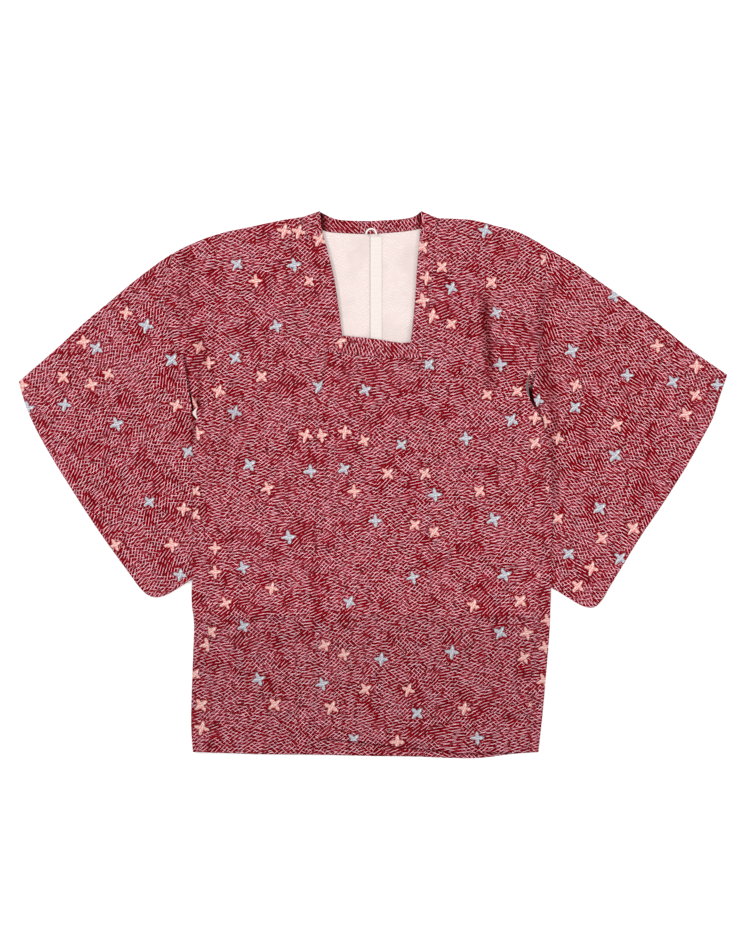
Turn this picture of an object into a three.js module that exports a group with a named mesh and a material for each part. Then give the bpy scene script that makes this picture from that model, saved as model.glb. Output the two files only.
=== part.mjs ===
// A short kimono overcoat with a square neck, laid flat on its back with the sleeves drawn down.
// Millimetres, +Z up. The cloth lies on the plane z = 0, the hem towards -Y and the neck towards +Y,
// with the origin under the middle of the coat. The wearer's right side is at -X.
import * as THREE from "three";

const { smoothstep, lerp } = THREE.MathUtils;

// ---------------------------------------------------------------- driving dimensions
const CLOTH = 1.2; // wall of one layer of crepe
const COLLAR_CLOTH = 1.8; // the collar is folded double
const TAPE_CLOTH = 0.8; // binding over the centre back seam
const SEAM_GAP = 0.35; // between two pieces at a seam
const LAYER_GAP = 0.4; // between two layers that lie on each other
const REST_GAP = 1.6; // between the back and the front where the coat lies flattest
const LEAST_GAP = 0.6; // the same at the bottom of the deepest crease
const TUCKED_GAP = 0.5; // inside the part of a sleeve that the body lies on
const SLEEVE_STACK = 2 * CLOTH + TUCKED_GAP + LAYER_GAP; // lift of the body over a tucked sleeve
const OVERLAP_LIFT = COLLAR_CLOTH + LAYER_GAP; // lift of the upper front over the under front
const CENTRE_BACK_X = -5;
const FADE = 30; // a step between two heights is spread over this length
const CLEAR = 16; // a layer stays level this far past the edge of what it lies on
const BUTTON = { radius: 9.5, height: 3.6 };
const LOOP = { x: -3, y: 425.6, halfWidth: 8.6, height: 9, cord: 1.5 };
const TAPE = { left: -4, right: 15, top: 423, bottom: -452 };

// ---------------------------------------------------------------- lines of the cut, as it lies
// Each row is one point [x, y]. Lines run from the hem up, or from the middle of the coat outwards.
const NECK = {
  // each side: the collar's seam and its free edge, from the front's lower corner to the shoulder
  right: {
    seam: [[-80, 218], [-90, 280], [-104, 365], [-119, 455]],
    free: [[-50, 236], [-63, 333], [-75, 389], [-86, 430], [-90, 465]],
    backSeam: [[-5, 426], [-56, 428], [-80, 431], [-100, 440], [-119, 455]],
    backFree: [[-5, 448], [-56, 450], [-83, 460], [-90, 465]],
  },
  left: {
    seam: [[88, 216], [95, 300], [103, 390], [110, 453]],
    free: [[64, 242], [70, 297], [75, 370], [80, 430], [82, 465]],
    backSeam: [[-5, 426], [46, 430], [74, 434], [92, 440], [110, 453]],
    backFree: [[-5, 448], [46, 451], [70, 456], [82, 465]],
  },
  frontSeam: [[-78, 226], [-31, 221], [20, 216], [88, 216]],
  frontFree: [[-51, 253], [0, 248], [45, 241], [64, 242]],
};
// The fold along the top, from the collar's seam over the shoulder and down the sleeve to the cuff.
const TOP_FOLD = {
  right: [
    [-119, 455], [-158, 449], [-209, 438], [-252, 429], [-292, 416], [-342, 392],
    [-394, 355], [-444, 314], [-493, 273], [-537, 232], [-583, 192], [-602, 175],
  ],
  left: [
    [110, 453], [167, 450], [209, 440], [246, 430], [274, 416], [294, 404],
    [343, 375], [371, 355], [430, 314], [486, 273], [537, 232], [602, 187],
  ],
};
const BODY_FOLD_SHARE = { right: 0.407, left: 0.34 }; // of the top fold, from collar to armhole
const HEM = {
  back: {
    right: [[-5, -461], [-90, -459], [-192, -458], [-275, -455]],
    left: [[-5, -461], [73, -462], [130, -464.4], [180, -464.4], [225, -459], [265, -455]],
  },
  underFront: [[-92, -458], [-192, -457], [-275, -455]],
  upperFront: [[102, -449], [148, -456], [200, -455], [265, -455]],
  underBand: [[-92, -458], [90, -460]],
  upperBand: [[-100, -431], [-42, -434], [20, -442], [102, -449]],
};
// Where each front and back is sewn to the gusset, from hem to underarm.
const SIDE_SEAM = {
  right: [[-275, -455], [-275, -366], [-279, -264], [-286, -179], [-300, -31], [-300, 96]],
  left: [[265, -455], [270, -366], [277, -264], [282, -179], [291, -60], [295, 80]],
};
// Outer fold of each gusset.
const GUSSET_FOLD = {
  right: [[-306, -454], [-309, -400], [-306, -298], [-304, -237], [-308, -196], [-306, -120], [-306, 95]],
  left: [[281, -454], [289, -380], [296, -298], [300, -247], [302, -179], [304, -60], [304, 79]],
};
// The open edges between underarm and sleeve seam, then the seam itself up to the shoulder fold. The
// back's open edge lies further in than the front's, so that the slit doesn't go straight through.
const ARMHOLE = {
  right: {
    frontEdge: [[-300, 96], [-301.5, 112], [-309.5, 158], [-320, 205]],
    backEdge: [[-300, 96], [-297, 112], [-300, 158], [-320, 205]],
    seam: [[-320, 205], [-343, 255], [-352, 314]],
  },
  left: {
    frontEdge: [[295, 80], [284, 116], [268, 142], [265, 166], [279, 198]],
    backEdge: [[295, 80], [277, 112], [257, 142], [255, 168], [279, 198]],
    seam: [[279, 198], [285, 240], [290, 290], [292, 340]],
  },
};
// Where the front band is sewn to each front, from hem to collar, and the bands' open edges.
const BAND_SEAM = {
  right: [[-92, -458], [-90, -181], [-88, 60], [-80, 218]],
  left: [[102, -449], [100, -332], [98, -196], [95, -60], [88, 64], [88, 216]],
};
const BAND_EDGE = {
  upper: [[-100, -431], [-97, -181], [-95, 74], [-90, 144], [-82, 196], [-78, 226]],
  under: [[90, -460], [88, -181], [84, 60], [82, 236]],
};
const SLEEVE = {
  right: {
    // open inner edges, from the bottom to the sleeve's seam; they run under the body
    frontEdge: [[-252, -128], [-280, -4], [-299.5, 100], [-303.8, 112], [-312.6, 158], [-320, 205]],
    backEdge: [[-252, -128], [-280, -4], [-296.5, 100], [-298.5, 112], [-302, 158], [-320, 205]],
    // bottom, round the corner, and the sewn part of the cuff
    bottom: [
      [-252, -128], [-309, -162], [-345, -184], [-365, -191], [-381, -188], [-396, -175],
      [-411, -155], [-469, -74], [-522, 8],
    ],
    cuff: [[-522, 8], [-547, 49], [-570, 90], [-588, 130], [-602, 175]],
    heart: [-410, 90],
  },
  left: {
    frontEdge: [[241, -138], [273, -18], [290, 88], [286.5, 116], [274, 142], [271, 166], [279, 198]],
    backEdge: [[241, -138], [273, -18], [287, 88], [280, 112], [262, 142], [260, 168], [279, 198]],
    bottom: [
      [241, -138], [299, -172], [338, -196], [359, -207], [376, -208], [389, -196],
      [402, -174], [419, -146], [454, -89], [494, -30], [530, 27],
    ],
    cuff: [[530, 27], [552, 66], [577, 113], [589, 150], [602, 187]],
    heart: [410, 90],
  },
};
// Straight lines of the tucked part of each sleeve, from which the rise of the body is worked out.
const TUCK = {
  right: { sign: -1, topX: -300, topY: 112, lowX: -252, lowY: -128, bottomX: -309, bottomY: -162 },
  left: { sign: 1, topX: 290, topY: 98, lowX: 241, lowY: -138, bottomX: 299, bottomY: -172 },
};

// ---------------------------------------------------------------- folds of the cloth as it lies
// Soft rises of the upper layers: centre, reach each way and height.
const PUFFS = [
  { x: -90, y: 380, rx: 60, ry: 120, height: 2.2 },
  { x: 85, y: 380, rx: 60, ry: 120, height: 2.2 },
  { x: -225, y: 290, rx: 80, ry: 100, height: 4 },
  { x: 155, y: 265, rx: 38, ry: 110, height: 4 },
  { x: 240, y: 270, rx: 42, ry: 95, height: 5.5 },
  { x: -385, y: 200, rx: 80, ry: 110, height: 4 },
  { x: 340, y: 230, rx: 56, ry: 110, height: 6 },
  { x: 450, y: 120, rx: 70, ry: 110, height: 1.8 },
  { x: -430, y: -10, rx: 60, ry: 80, height: 1.6 },
  { x: 0, y: -100, rx: 120, ry: 200, height: 0.9 },
  { x: 180, y: -250, rx: 60, ry: 120, height: 1.3 },
  { x: -190, y: -200, rx: 60, ry: 150, height: 1.2 },
];
// Creases, each a trough from one end to the other: half width and depth.
const CREASES = [
  { name: "left chest fold", x0: 189, y0: 345, x1: 199, y1: 170, width: 8, depth: 6.5 },
  { name: "left armhole fold, top", x0: 297, y0: 340, x1: 284, y1: 250, width: 8, depth: 5.5 },
  { name: "left armhole fold, foot", x0: 284, y0: 250, x1: 308, y1: 95, width: 9, depth: 6 },
  { name: "right armhole fold", x0: -290, y0: 250, x1: -294, y1: 150, width: 7, depth: 4.5 },
  { name: "right shoulder fold", x0: -315, y0: 385, x1: -318, y1: 265, width: 11, depth: 3.5 },
  { name: "right chest fold", x0: -233, y0: 122, x1: -284, y1: 0, width: 12, depth: 1.5 },
];

function creaseDepth({ x0, y0, x1, y1, width, depth }, x, y) {
  const dx = x1 - x0;
  const dy = y1 - y0;
  const length = Math.hypot(dx, dy);
  const along = ((x - x0) * dx + (y - y0) * dy) / length ** 2;
  const across = ((x - x0) * dy - (y - y0) * dx) / length;
  const ends = smoothstep(along, -0.15, 0.15) * (1 - smoothstep(along, 0.85, 1.15));
  return depth * ends * Math.exp(-((across / width) ** 4));
}

// Height of the front's wrong side over the back's wrong side.
function loft(x, y) {
  let height = REST_GAP;
  for (const p of PUFFS) height += p.height * Math.exp(-(((x - p.x) / p.rx) ** 2) - ((y - p.y) / p.ry) ** 2);
  for (const crease of CREASES) height -= creaseDepth(crease, x, y);
  return Math.max(height, LEAST_GAP);
}

// Share of the way from the open floor, 0, to lying fully on the tucked sleeve, 1.
function overSleeve({ sign, topX, topY, lowX, lowY, bottomX, bottomY }, x, y) {
  const edgeX = lerp(topX, lowX, (topY - y) / (topY - lowY));
  const bottomEdgeY = lerp(bottomY, lowY, (x - bottomX) / (lowX - bottomX));
  const inside = smoothstep(sign * (x - edgeX), -CLEAR - FADE, -CLEAR);
  const above = smoothstep(y - bottomEdgeY, -CLEAR - FADE, -CLEAR);
  return inside * above * (1 - smoothstep(y, topY, topY + CLEAR + FADE));
}

// Height of the body's underside: the floor, or the sleeve tucked under it.
function ground(x, y) {
  return SLEEVE_STACK * Math.max(overSleeve(TUCK.right, x, y), overSleeve(TUCK.left, x, y));
}

const backWrong = (x, y) => ground(x, y) + CLOTH;
const underFront = (x, y) => backWrong(x, y) + loft(x, y);

// The upper front rises over the under front's band, and comes down again past its edge.
function upperFront(x, y) {
  const lift = (1 - smoothstep(x, 92, 92 + FADE)) * (1 - smoothstep(y, 256, 256 + FADE));
  return underFront(x, y) + OVERLAP_LIFT * lift;
}

// Wrong side of a sleeve's upper layer, pressed flat where the body lies on it.
function sleeveFront(side) {
  const { sign, topX, topY } = TUCK[side];
  return (x, y) => {
    const tucked = 1 - smoothstep(sign * (x - topX), CLEAR, CLEAR + FADE);
    const pressed = tucked * (1 - smoothstep(y, topY, topY + CLEAR + FADE));
    return CLOTH + lerp(loft(x, y), TUCKED_GAP, pressed);
  };
}

// ---------------------------------------------------------------- from lines to cloth
const steps = (count) => Array.from({ length: count + 1 }, (_, i) => i / count);
const at = (p, z) => new THREE.Vector3(p.x, p.y, z);
const raised = (height, by) => (x, y) => height(x, y) + by;

// A smooth line through a table's points, read by its share of the length.
function line(points) {
  const curve = new THREE.SplineCurve(points.map(([x, y]) => new THREE.Vector2(x, y)));
  return (t) => curve.getPointAt(Math.min(Math.max(t, 0), 1));
}

// Two lines end to end, with a corner between them at the share `split`.
const joined = (first, second, split) => (t) =>
  t < split ? first(t / split) : second((t - split) / (1 - split));
const part = (whole, from, to) => (t) => whole(lerp(from, to, t));
// A line moved sideways, by `start` at its beginning and by `end` at its end, for the gap at a seam.
const trimmed = (whole, start, end) => (t) => whole(t).add(new THREE.Vector2(lerp(start, end, t), 0));

// A four-sided piece of cloth: u runs from its inner edge to its outer one, v from bottom to top.
// Where two sides miss each other at a corner, the inner and outer edges bend to meet the others.
function panel({ inner, outer, bottom, top }) {
  const between = (a, b, u) => a.clone().lerp(b, u);
  const bulge = (side, u) => side(u).clone().sub(between(side(0), side(1), u));
  const miss = (side, v) => [side(0).clone().sub(inner(v)), side(1).clone().sub(outer(v))];
  const [atBottom, atTop] = [miss(bottom, 0), miss(top, 1)];
  return (u, v) =>
    between(inner(v), outer(v), u)
      .addScaledVector(bulge(bottom, u), 1 - v)
      .addScaledVector(bulge(top, u), v)
      .addScaledVector(between(...atBottom, u), 1 - smoothstep(v, 0, 0.03))
      .addScaledVector(between(...atTop, u), smoothstep(v, 0.97, 1));
}

// A closed wall between two matching grids of points, the cloth's two faces. A ring's rows close on
// themselves, and its two end rows are its openings.
function wall(faceA, faceB, ring = false) {
  const [rows, cols] = [faceA.length, faceA[0].length];
  const index = [];
  const id = (face, row, col) => face * rows * cols + row * cols + (col % cols);
  const quad = (a, b, c, d) => index.push(a, b, c, a, c, d);
  const strips = ring ? cols : cols - 1;
  for (let c = 0; c < strips; c++) {
    for (let r = 0; r < rows - 1; r++) {
      quad(id(0, r, c), id(0, r, c + 1), id(0, r + 1, c + 1), id(0, r + 1, c));
      quad(id(1, r + 1, c), id(1, r + 1, c + 1), id(1, r, c + 1), id(1, r, c));
    }
    quad(id(0, 0, c), id(1, 0, c), id(1, 0, c + 1), id(0, 0, c + 1));
    quad(id(0, rows - 1, c), id(0, rows - 1, c + 1), id(1, rows - 1, c + 1), id(1, rows - 1, c));
  }
  if (!ring)
    for (let r = 0; r < rows - 1; r++) {
      quad(id(0, r, 0), id(0, r + 1, 0), id(1, r + 1, 0), id(1, r, 0));
      quad(id(0, r, cols - 1), id(1, r, cols - 1), id(1, r + 1, cols - 1), id(0, r + 1, cols - 1));
    }
  return facingOut([...faceA.flat(), ...faceB.flat()], index);
}

function facingOut(points, index) {
  let volume = 0;
  for (let i = 0; i < index.length; i += 3) {
    const [a, b, c] = [points[index[i]], points[index[i + 1]], points[index[i + 2]]];
    volume += a.dot(b.clone().cross(c));
  }
  if (volume < 0) index.reverse();
  return new THREE.BufferGeometry().setFromPoints(points).setIndex(index);
}

const face = (flat, us, vs, height) =>
  vs.map((v) => us.map((u) => flat(u, v)).map((p) => at(p, height(p.x, p.y))));

// One layer that lies on others: a panel with its lower face at the height `under`.
const layer = (flat, us, vs, under, thickness = CLOTH) =>
  wall(face(flat, us, vs, raised(under, thickness)), face(flat, us, vs, under));

// ---------------------------------------------------------------- folds between two layers
const BEND_STEPS = [45, 0, -45]; // degrees round a fold, from the upper layer to the lower one

// A fold between a lower layer, whose underside is at `low`, and an upper one, whose top is at
// `high`. `edge` is its outermost line and `inward` the direction into the cloth.
function makeFold(edge, inward, low, high) {
  const section = (u) => {
    const [p, d] = [edge(u), inward(u)];
    const probe = p.clone().addScaledVector(d, 3);
    const [floor, top] = [low(probe.x, probe.y), high(probe.x, probe.y)];
    return { p, d, middle: (floor + top) / 2, radius: (top - floor) / 2 };
  };
  const round = (us, shell) =>
    BEND_STEPS.map((degrees) =>
      us.map((u) => {
        const { p, d, middle, radius } = section(u);
        const angle = THREE.MathUtils.degToRad(degrees);
        const reach = radius - shell;
        const spot = p.clone().addScaledVector(d, radius - reach * Math.cos(angle));
        return at(spot, middle + reach * Math.sin(angle));
      }),
    );
  // where the fold ends and the two layers lie flat
  const start = (u) => {
    const { p, d, radius } = section(u);
    return p.clone().addScaledVector(d, radius);
  };
  return { round, start };
}

// Direction into the cloth along a fold: square to it, and towards the point `heart`.
function squareTo(edge, heart) {
  return (u) => {
    const along = edge(u + 0.005).clone().sub(edge(u - 0.005));
    const square = new THREE.Vector2(-along.y, along.x).normalize();
    const wanted = new THREE.Vector2(...heart).sub(edge(u));
    return square.dot(wanted) < 0 ? square.negate() : square;
  };
}

// ---------------------------------------------------------------- shared rows of points
// Shares of a front's or a back's height at which one seam ends and the next begins.
const UNDERARM = 0.62;
const SLEEVE_FOOT = 0.74; // the collar begins here too
const BACK_NECK = 0.87;
const BODY_ROWS = [
  0, 0.09, 0.18, 0.26, 0.31, 0.34, 0.37, 0.42, 0.48, 0.55,
  UNDERARM, 0.65, 0.68, 0.71,
  SLEEVE_FOOT, 0.78, 0.82,
  BACK_NECK, 0.895, 0.92, 0.945, 0.97, 1,
];
const rowsWithin = (from, to) =>
  BODY_ROWS.filter((v) => v >= from && v <= to).map((v) => (v - from) / (to - from));
const BODY_COLUMNS = {
  right: [0, 0.15, 0.3, 0.44, 0.56, 0.66, 0.74, 0.8, 0.85, 0.9, 0.95, 1],
  left: [0, 0.14, 0.28, 0.38, 0.43, 0.475, 0.52, 0.565, 0.61, 0.7, 0.82, 0.91, 0.96, 1],
};
const SLEEVE_SEAM_SHARE = 0.64; // of a sleeve's height, where its open inner edge ends
const SLEEVE_ROWS = [
  ...[0, 0.12, 0.25, 0.37, 0.43, 0.47, 0.5, 0.53, 0.56, 0.59, 0.615],
  ...rowsWithin(SLEEVE_FOOT, 1).map((s) => lerp(SLEEVE_SEAM_SHARE, 1, s)),
];
const SLEEVE_STATIONS = [0, 0.05, 0.11, 0.18, 0.25, 0.31, 0.35, 0.39, 0.44, 0.53, 0.65, 0.77, 0.89, 1];

const topFold = (side) => line(TOP_FOLD[side]);
const intoCoat = (side) => squareTo(topFold(side), [TUCK[side].sign * 200, -200]);
const armholeSeam = (side) => line([...ARMHOLE[side].seam, topFold(side)(BODY_FOLD_SHARE[side]).toArray()]);

// ---------------------------------------------------------------- the pieces
// Front and back of one side, a single length of cloth folded over the shoulder.
function body(side, frontHem, front) {
  const outward = TUCK[side].sign;
  const [innerGap, outerGap] = [(outward * SEAM_GAP) / 2, (-outward * SEAM_GAP) / 2];
  const us = BODY_COLUMNS[side];
  const share = BODY_FOLD_SHARE[side];
  const frontTop = raised(front, CLOTH);
  const edge = trimmed(part(topFold(side), 0, share), innerGap, outerGap);
  const fold = makeFold(edge, part(intoCoat(side), 0, share), ground, frontTop);
  const outer = (openEdge) => {
    const armhole = joined(line(openEdge), armholeSeam(side), (SLEEVE_FOOT - UNDERARM) / (1 - UNDERARM));
    return trimmed(joined(line(SIDE_SEAM[side]), armhole, UNDERARM), outerGap, outerGap);
  };
  const bandAndCollar = joined(line(BAND_SEAM[side]), line(NECK[side].seam), SLEEVE_FOOT);
  const centre = line([[CENTRE_BACK_X, -461], [CENTRE_BACK_X, 426 - SEAM_GAP]]);
  const neck = line(NECK[side].backSeam.map(([x, y]) => [x, y - SEAM_GAP]));
  const shape = (inner, openEdge, hem) =>
    panel({
      inner: trimmed(inner, innerGap, innerGap),
      outer: outer(openEdge),
      bottom: trimmed(line(hem), innerGap, outerGap),
      top: fold.start,
    });
  const frontShape = shape(bandAndCollar, ARMHOLE[side].frontEdge, frontHem);
  const backShape = shape(joined(centre, neck, BACK_NECK), ARMHOLE[side].backEdge, HEM.back[side]);
  const down = BODY_ROWS.toReversed();
  const cloth = (shell, frontHeight, backHeight) => [
    ...face(frontShape, us, BODY_ROWS, frontHeight),
    ...fold.round(us, shell),
    ...face(backShape, us, down, backHeight),
  ];
  return wall(cloth(0, frontTop, ground), cloth(CLOTH, front, backWrong));
}

// A sleeve: a flat tube, folded at the top and sewn along the bottom, round the corner and up the
// cuff as far as the hand's opening. Its inner end is open too, and runs under the body.
function sleeve(side) {
  const { frontEdge, backEdge, bottom, cuff, heart } = SLEEVE[side];
  const gap = (TUCK[side].sign * SEAM_GAP) / 2;
  const us = SLEEVE_STATIONS;
  const share = BODY_FOLD_SHARE[side];
  const floor = () => 0;
  const wrongTop = sleeveFront(side);
  const rightTop = raised(wrongTop, CLOTH);
  const foldLine = trimmed(part(topFold(side), share, 1), gap, 0);
  const upper = makeFold(foldLine, part(intoCoat(side), share, 1), floor, rightTop);
  const bottomLine = trimmed(line(bottom), gap, 0);
  const lower = makeFold(bottomLine, squareTo(line(bottom), heart), floor, rightTop);
  const flat = (innerEdge) =>
    panel({
      inner: trimmed(joined(line(innerEdge), armholeSeam(side), SLEEVE_SEAM_SHARE), gap, gap),
      outer: line(cuff),
      bottom: lower.start,
      top: upper.start,
    });
  const [front, back] = [flat(frontEdge), flat(backEdge)];
  const down = SLEEVE_ROWS.toReversed();
  // lines along the sleeve, in order round the tube
  const tube = (shell, frontHeight, backHeight) => [
    ...face(front, us, SLEEVE_ROWS, frontHeight),
    ...upper.round(us, shell),
    ...face(back, us, down, backHeight),
    ...lower.round(us, shell).toReversed(),
  ];
  const rings = (lines) => us.map((_, station) => lines.map((points) => points[station]));
  return wall(rings(tube(0, rightTop, floor)), rings(tube(CLOTH, wrongTop, () => CLOTH)), true);
}

// A side gusset: a long wedge from hem to underarm, folded lengthwise between front and back.
function gusset(side, front) {
  const outward = TUCK[side].sign;
  const rows = rowsWithin(0, UNDERARM);
  const frontTop = raised(front, CLOTH);
  const seam = trimmed(line(SIDE_SEAM[side]), (outward * SEAM_GAP) / 2, (outward * SEAM_GAP) / 2);
  const fold = makeFold(line(GUSSET_FOLD[side]), () => new THREE.Vector2(-outward, 0), ground, frontTop);
  const column = (share, height) =>
    rows.map((v) => seam(v).clone().lerp(fold.start(v), share)).map((p) => at(p, height(p.x, p.y)));
  const cloth = (shell, frontHeight, backHeight) => [
    ...[0, 0.5, 1].map((share) => column(share, frontHeight)),
    ...fold.round(rows, shell),
    ...[1, 0.5, 0].map((share) => column(share, backHeight)),
  ];
  return wall(cloth(0, frontTop, ground), cloth(CLOTH, front, backWrong));
}

// The front bands, one over the other: the upper is the wearer's left.
const BAND_COLUMNS = steps(7);

function upperBand() {
  const flat = panel({
    inner: line(BAND_EDGE.upper),
    outer: trimmed(line(BAND_SEAM.left), -SEAM_GAP / 2, -SEAM_GAP / 2),
    bottom: trimmed(line(HEM.upperBand), 0, -SEAM_GAP / 2),
    top: line(NECK.frontSeam.map(([x, y]) => [x, y - SEAM_GAP])),
  });
  return layer(flat, BAND_COLUMNS, rowsWithin(0, SLEEVE_FOOT), upperFront);
}

function underBand() {
  const flat = panel({
    inner: trimmed(line(BAND_SEAM.right), SEAM_GAP / 2, SEAM_GAP / 2),
    outer: line(BAND_EDGE.under),
    bottom: trimmed(line(HEM.underBand), SEAM_GAP / 2, 0),
    top: line([[-79, 217], [0, 232], [82, 236]]),
  });
  return layer(flat, steps(4), rowsWithin(0, SLEEVE_FOOT), underFront);
}

// The strip of collar along the top of the upper band, mitred at both ends.
function frontCollar() {
  const { frontSeam, frontFree } = NECK;
  const flat = panel({
    inner: line([frontSeam[0], frontFree[0]]),
    outer: trimmed(line([frontSeam.at(-1), frontFree.at(-1)]), -SEAM_GAP, -SEAM_GAP),
    bottom: trimmed(line(frontSeam), 0, -SEAM_GAP),
    top: trimmed(line(frontFree), 0, -SEAM_GAP),
  });
  return layer(flat, BAND_COLUMNS, steps(2), upperFront, COLLAR_CLOTH);
}

// The collar: one doubled strip, up one side of the neck, over the shoulder, round the back of the
// neck, over the other shoulder and down again.
const BACK_COLLAR_RISE = 1.6; // of its free edge behind the neck

function collar() {
  const us = steps(3);
  const low = () => 0;
  const turnAt = (side, front) => {
    const { seam, free } = NECK[side];
    const edge = line([seam.at(-1), free.at(-1)]);
    const square = squareTo(edge, [0, 0]);
    return makeFold(edge, () => square(0.5), low, raised(front, COLLAR_CLOTH));
  };
  const strip = (seam, free, top) =>
    panel({ inner: line(seam), outer: line(free), bottom: line([seam[0], free[0]]), top: top.start });
  // Behind the neck the free edge stands a little off the floor, away from the shoulders.
  const risen = (rows) =>
    rows.map((row) => row.map((p, i) => {
      const rise = 1 - smoothstep(Math.abs(p.x - CENTRE_BACK_X), 40, 105);
      return new THREE.Vector3(p.x, p.y, p.z + BACK_COLLAR_RISE * us[i] * rise);
    }));
  const frontRows = rowsWithin(SLEEVE_FOOT, 1);
  const backRows = rowsWithin(BACK_NECK, 1);
  const half = (side, front) => {
    const { seam, free, backSeam, backFree } = NECK[side];
    const turn = turnAt(side, front);
    const frontStrip = strip(seam, free, turn);
    const backStrip = strip(backSeam, backFree, turn);
    return (shell, frontHeight, backHeight) => [
      ...face(frontStrip, us, frontRows, frontHeight),
      ...turn.round(us, shell),
      ...risen(face(backStrip, us, backRows.toReversed(), () => backHeight)),
    ];
  };
  const right = half("right", underFront);
  const left = half("left", upperFront);
  // Both halves end at the centre back, so the left one runs the other way and drops that row.
  const whole = (shell, lift) => [
    ...right(shell, raised(underFront, lift), COLLAR_CLOTH - lift),
    ...left(shell, raised(upperFront, lift), COLLAR_CLOTH - lift).toReversed().slice(1),
  ];
  return wall(whole(0, COLLAR_CLOTH), whole(COLLAR_CLOTH, 0));
}

// The binding over the centre back seam, and the small loop that the coat hangs by.
function backTape() {
  const { left, right, top, bottom } = TAPE;
  const flat = (u, v) => new THREE.Vector2(lerp(left, right, u), lerp(bottom, top, v));
  return layer(flat, [0, 1], steps(8), raised(backWrong, LAYER_GAP - 0.1), TAPE_CLOTH);
}

class LoopPath extends THREE.Curve {
  getPoint(t) {
    const { x, y, halfWidth, height, cord } = LOOP;
    const angle = Math.PI * (1 - t);
    const rise = Math.sin(angle);
    const z = COLLAR_CLOTH + BACK_COLLAR_RISE * rise * 0.5 + LAYER_GAP + cord;
    return new THREE.Vector3(x + halfWidth * Math.cos(angle), y + height * rise, z);
  }
}

function neckLoop() {
  const section = new THREE.Shape().absarc(0, 0, LOOP.cord, 0, 2 * Math.PI);
  return new THREE.ExtrudeGeometry(section, { curveSegments: 4, steps: 12, extrudePath: new LoopPath() });
}

// A button covered in the coat's cloth: a low dome with a flat underside.
function button(x, y) {
  const { radius, height } = BUTTON;
  // from the middle of the underside, round the rim, to the top: shares of the radius and height
  const profile = [[0, 0], [0.93, 0], [1, 0.28], [0.86, 0.66], [0.5, 0.93], [0, 1]];
  const outline = profile.map(([r, z]) => new THREE.Vector2(r * radius, z * height));
  const dome = new THREE.LatheGeometry(outline, 20);
  dome.rotateX(Math.PI / 2);
  const rim = steps(12).map((s) => 2 * Math.PI * s);
  const under = rim.map((a) => upperFront(x + radius * Math.cos(a), y + radius * Math.sin(a)));
  const highest = Math.max(...under);
  dome.translate(x, y, highest + CLOTH + LAYER_GAP - 0.1);
  return dome;
}

// ---------------------------------------------------------------- finishes and assembly
const crepe = new THREE.MeshStandardMaterial({ color: 0x96283d, roughness: 0.85, metalness: 0 });
const tapeCloth = new THREE.MeshStandardMaterial({ color: 0xf0ece4, roughness: 0.8, metalness: 0 });
const loopCord = new THREE.MeshStandardMaterial({ color: 0xf7f5f0, roughness: 0.7, metalness: 0 });

const coat = new THREE.Group();
const PIECES = [
  ["body_right", body("right", HEM.underFront, underFront), crepe],
  ["body_left", body("left", HEM.upperFront, upperFront), crepe],
  ["sleeve_right", sleeve("right"), crepe],
  ["sleeve_left", sleeve("left"), crepe],
  ["gusset_right", gusset("right", underFront), crepe],
  ["gusset_left", gusset("left", upperFront), crepe],
  ["front_band_under", underBand(), crepe],
  ["front_band_upper", upperBand(), crepe],
  ["collar", collar(), crepe],
  ["collar_front", frontCollar(), crepe],
  ["back_seam_tape", backTape(), tapeCloth],
  ["neck_loop", neckLoop(), loopCord],
  ["button_right", button(-54, 210), crepe],
  ["button_left", button(73, 201), crepe],
];
for (const [name, geometry, material] of PIECES) {
  const mesh = new THREE.Mesh(geometry, material);
  mesh.name = name;
  coat.add(mesh);
}

export default coat;
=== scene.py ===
import math

import bpy
import numpy as np
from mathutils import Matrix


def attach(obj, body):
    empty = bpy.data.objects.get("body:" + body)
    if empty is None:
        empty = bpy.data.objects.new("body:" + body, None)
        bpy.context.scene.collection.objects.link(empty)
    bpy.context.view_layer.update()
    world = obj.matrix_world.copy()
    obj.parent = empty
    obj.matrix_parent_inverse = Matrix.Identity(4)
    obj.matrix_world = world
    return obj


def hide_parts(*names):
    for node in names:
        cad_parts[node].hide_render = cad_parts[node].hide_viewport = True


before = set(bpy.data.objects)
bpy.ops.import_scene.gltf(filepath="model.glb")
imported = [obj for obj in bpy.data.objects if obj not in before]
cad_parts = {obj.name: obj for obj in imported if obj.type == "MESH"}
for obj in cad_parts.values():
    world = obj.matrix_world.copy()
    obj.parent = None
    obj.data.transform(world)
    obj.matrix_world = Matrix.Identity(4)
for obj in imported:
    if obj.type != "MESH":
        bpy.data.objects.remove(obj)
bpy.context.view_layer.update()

# ---------------------------------------------------------------- camera
# A long lens straight above the coat, so that the neck is at the top of the picture and the hem
# at the bottom. The picture is 744 by 930 points, and each point covers 1.7 mm of the floor.
IMAGE_HEIGHT = 930
POINT_SIZE = 0.0017  # metres of floor in one point of the picture
VIEW_CENTRE = (-0.0017, 0.0336)
LENS_MM = 85.0
SENSOR_MM = 36.0

camera_data = bpy.data.cameras.new("overhead_camera")
camera_data.lens = LENS_MM
camera_data.sensor_width = SENSOR_MM
camera = bpy.data.objects.new("overhead_camera", camera_data)
camera_height = IMAGE_HEIGHT * POINT_SIZE * LENS_MM / SENSOR_MM
camera.location = (*VIEW_CENTRE, camera_height)
camera_data.clip_end = 20
bpy.context.scene.collection.objects.link(camera)
bpy.context.scene.camera = camera


# ---------------------------------------------------------------- floor and light
# A plain, nearly white floor under the coat, one broad soft light from the upper left, a weaker
# one from the right, and a pale room all round. They make the folds show without hard shadows.
FLOOR_HALF_SIZE = 6.0
FLOOR_DROP = 0.0004  # below the cloth, so that the two don't share a plane
FLOOR_WHITE = (0.96, 0.96, 0.96, 1)
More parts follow.
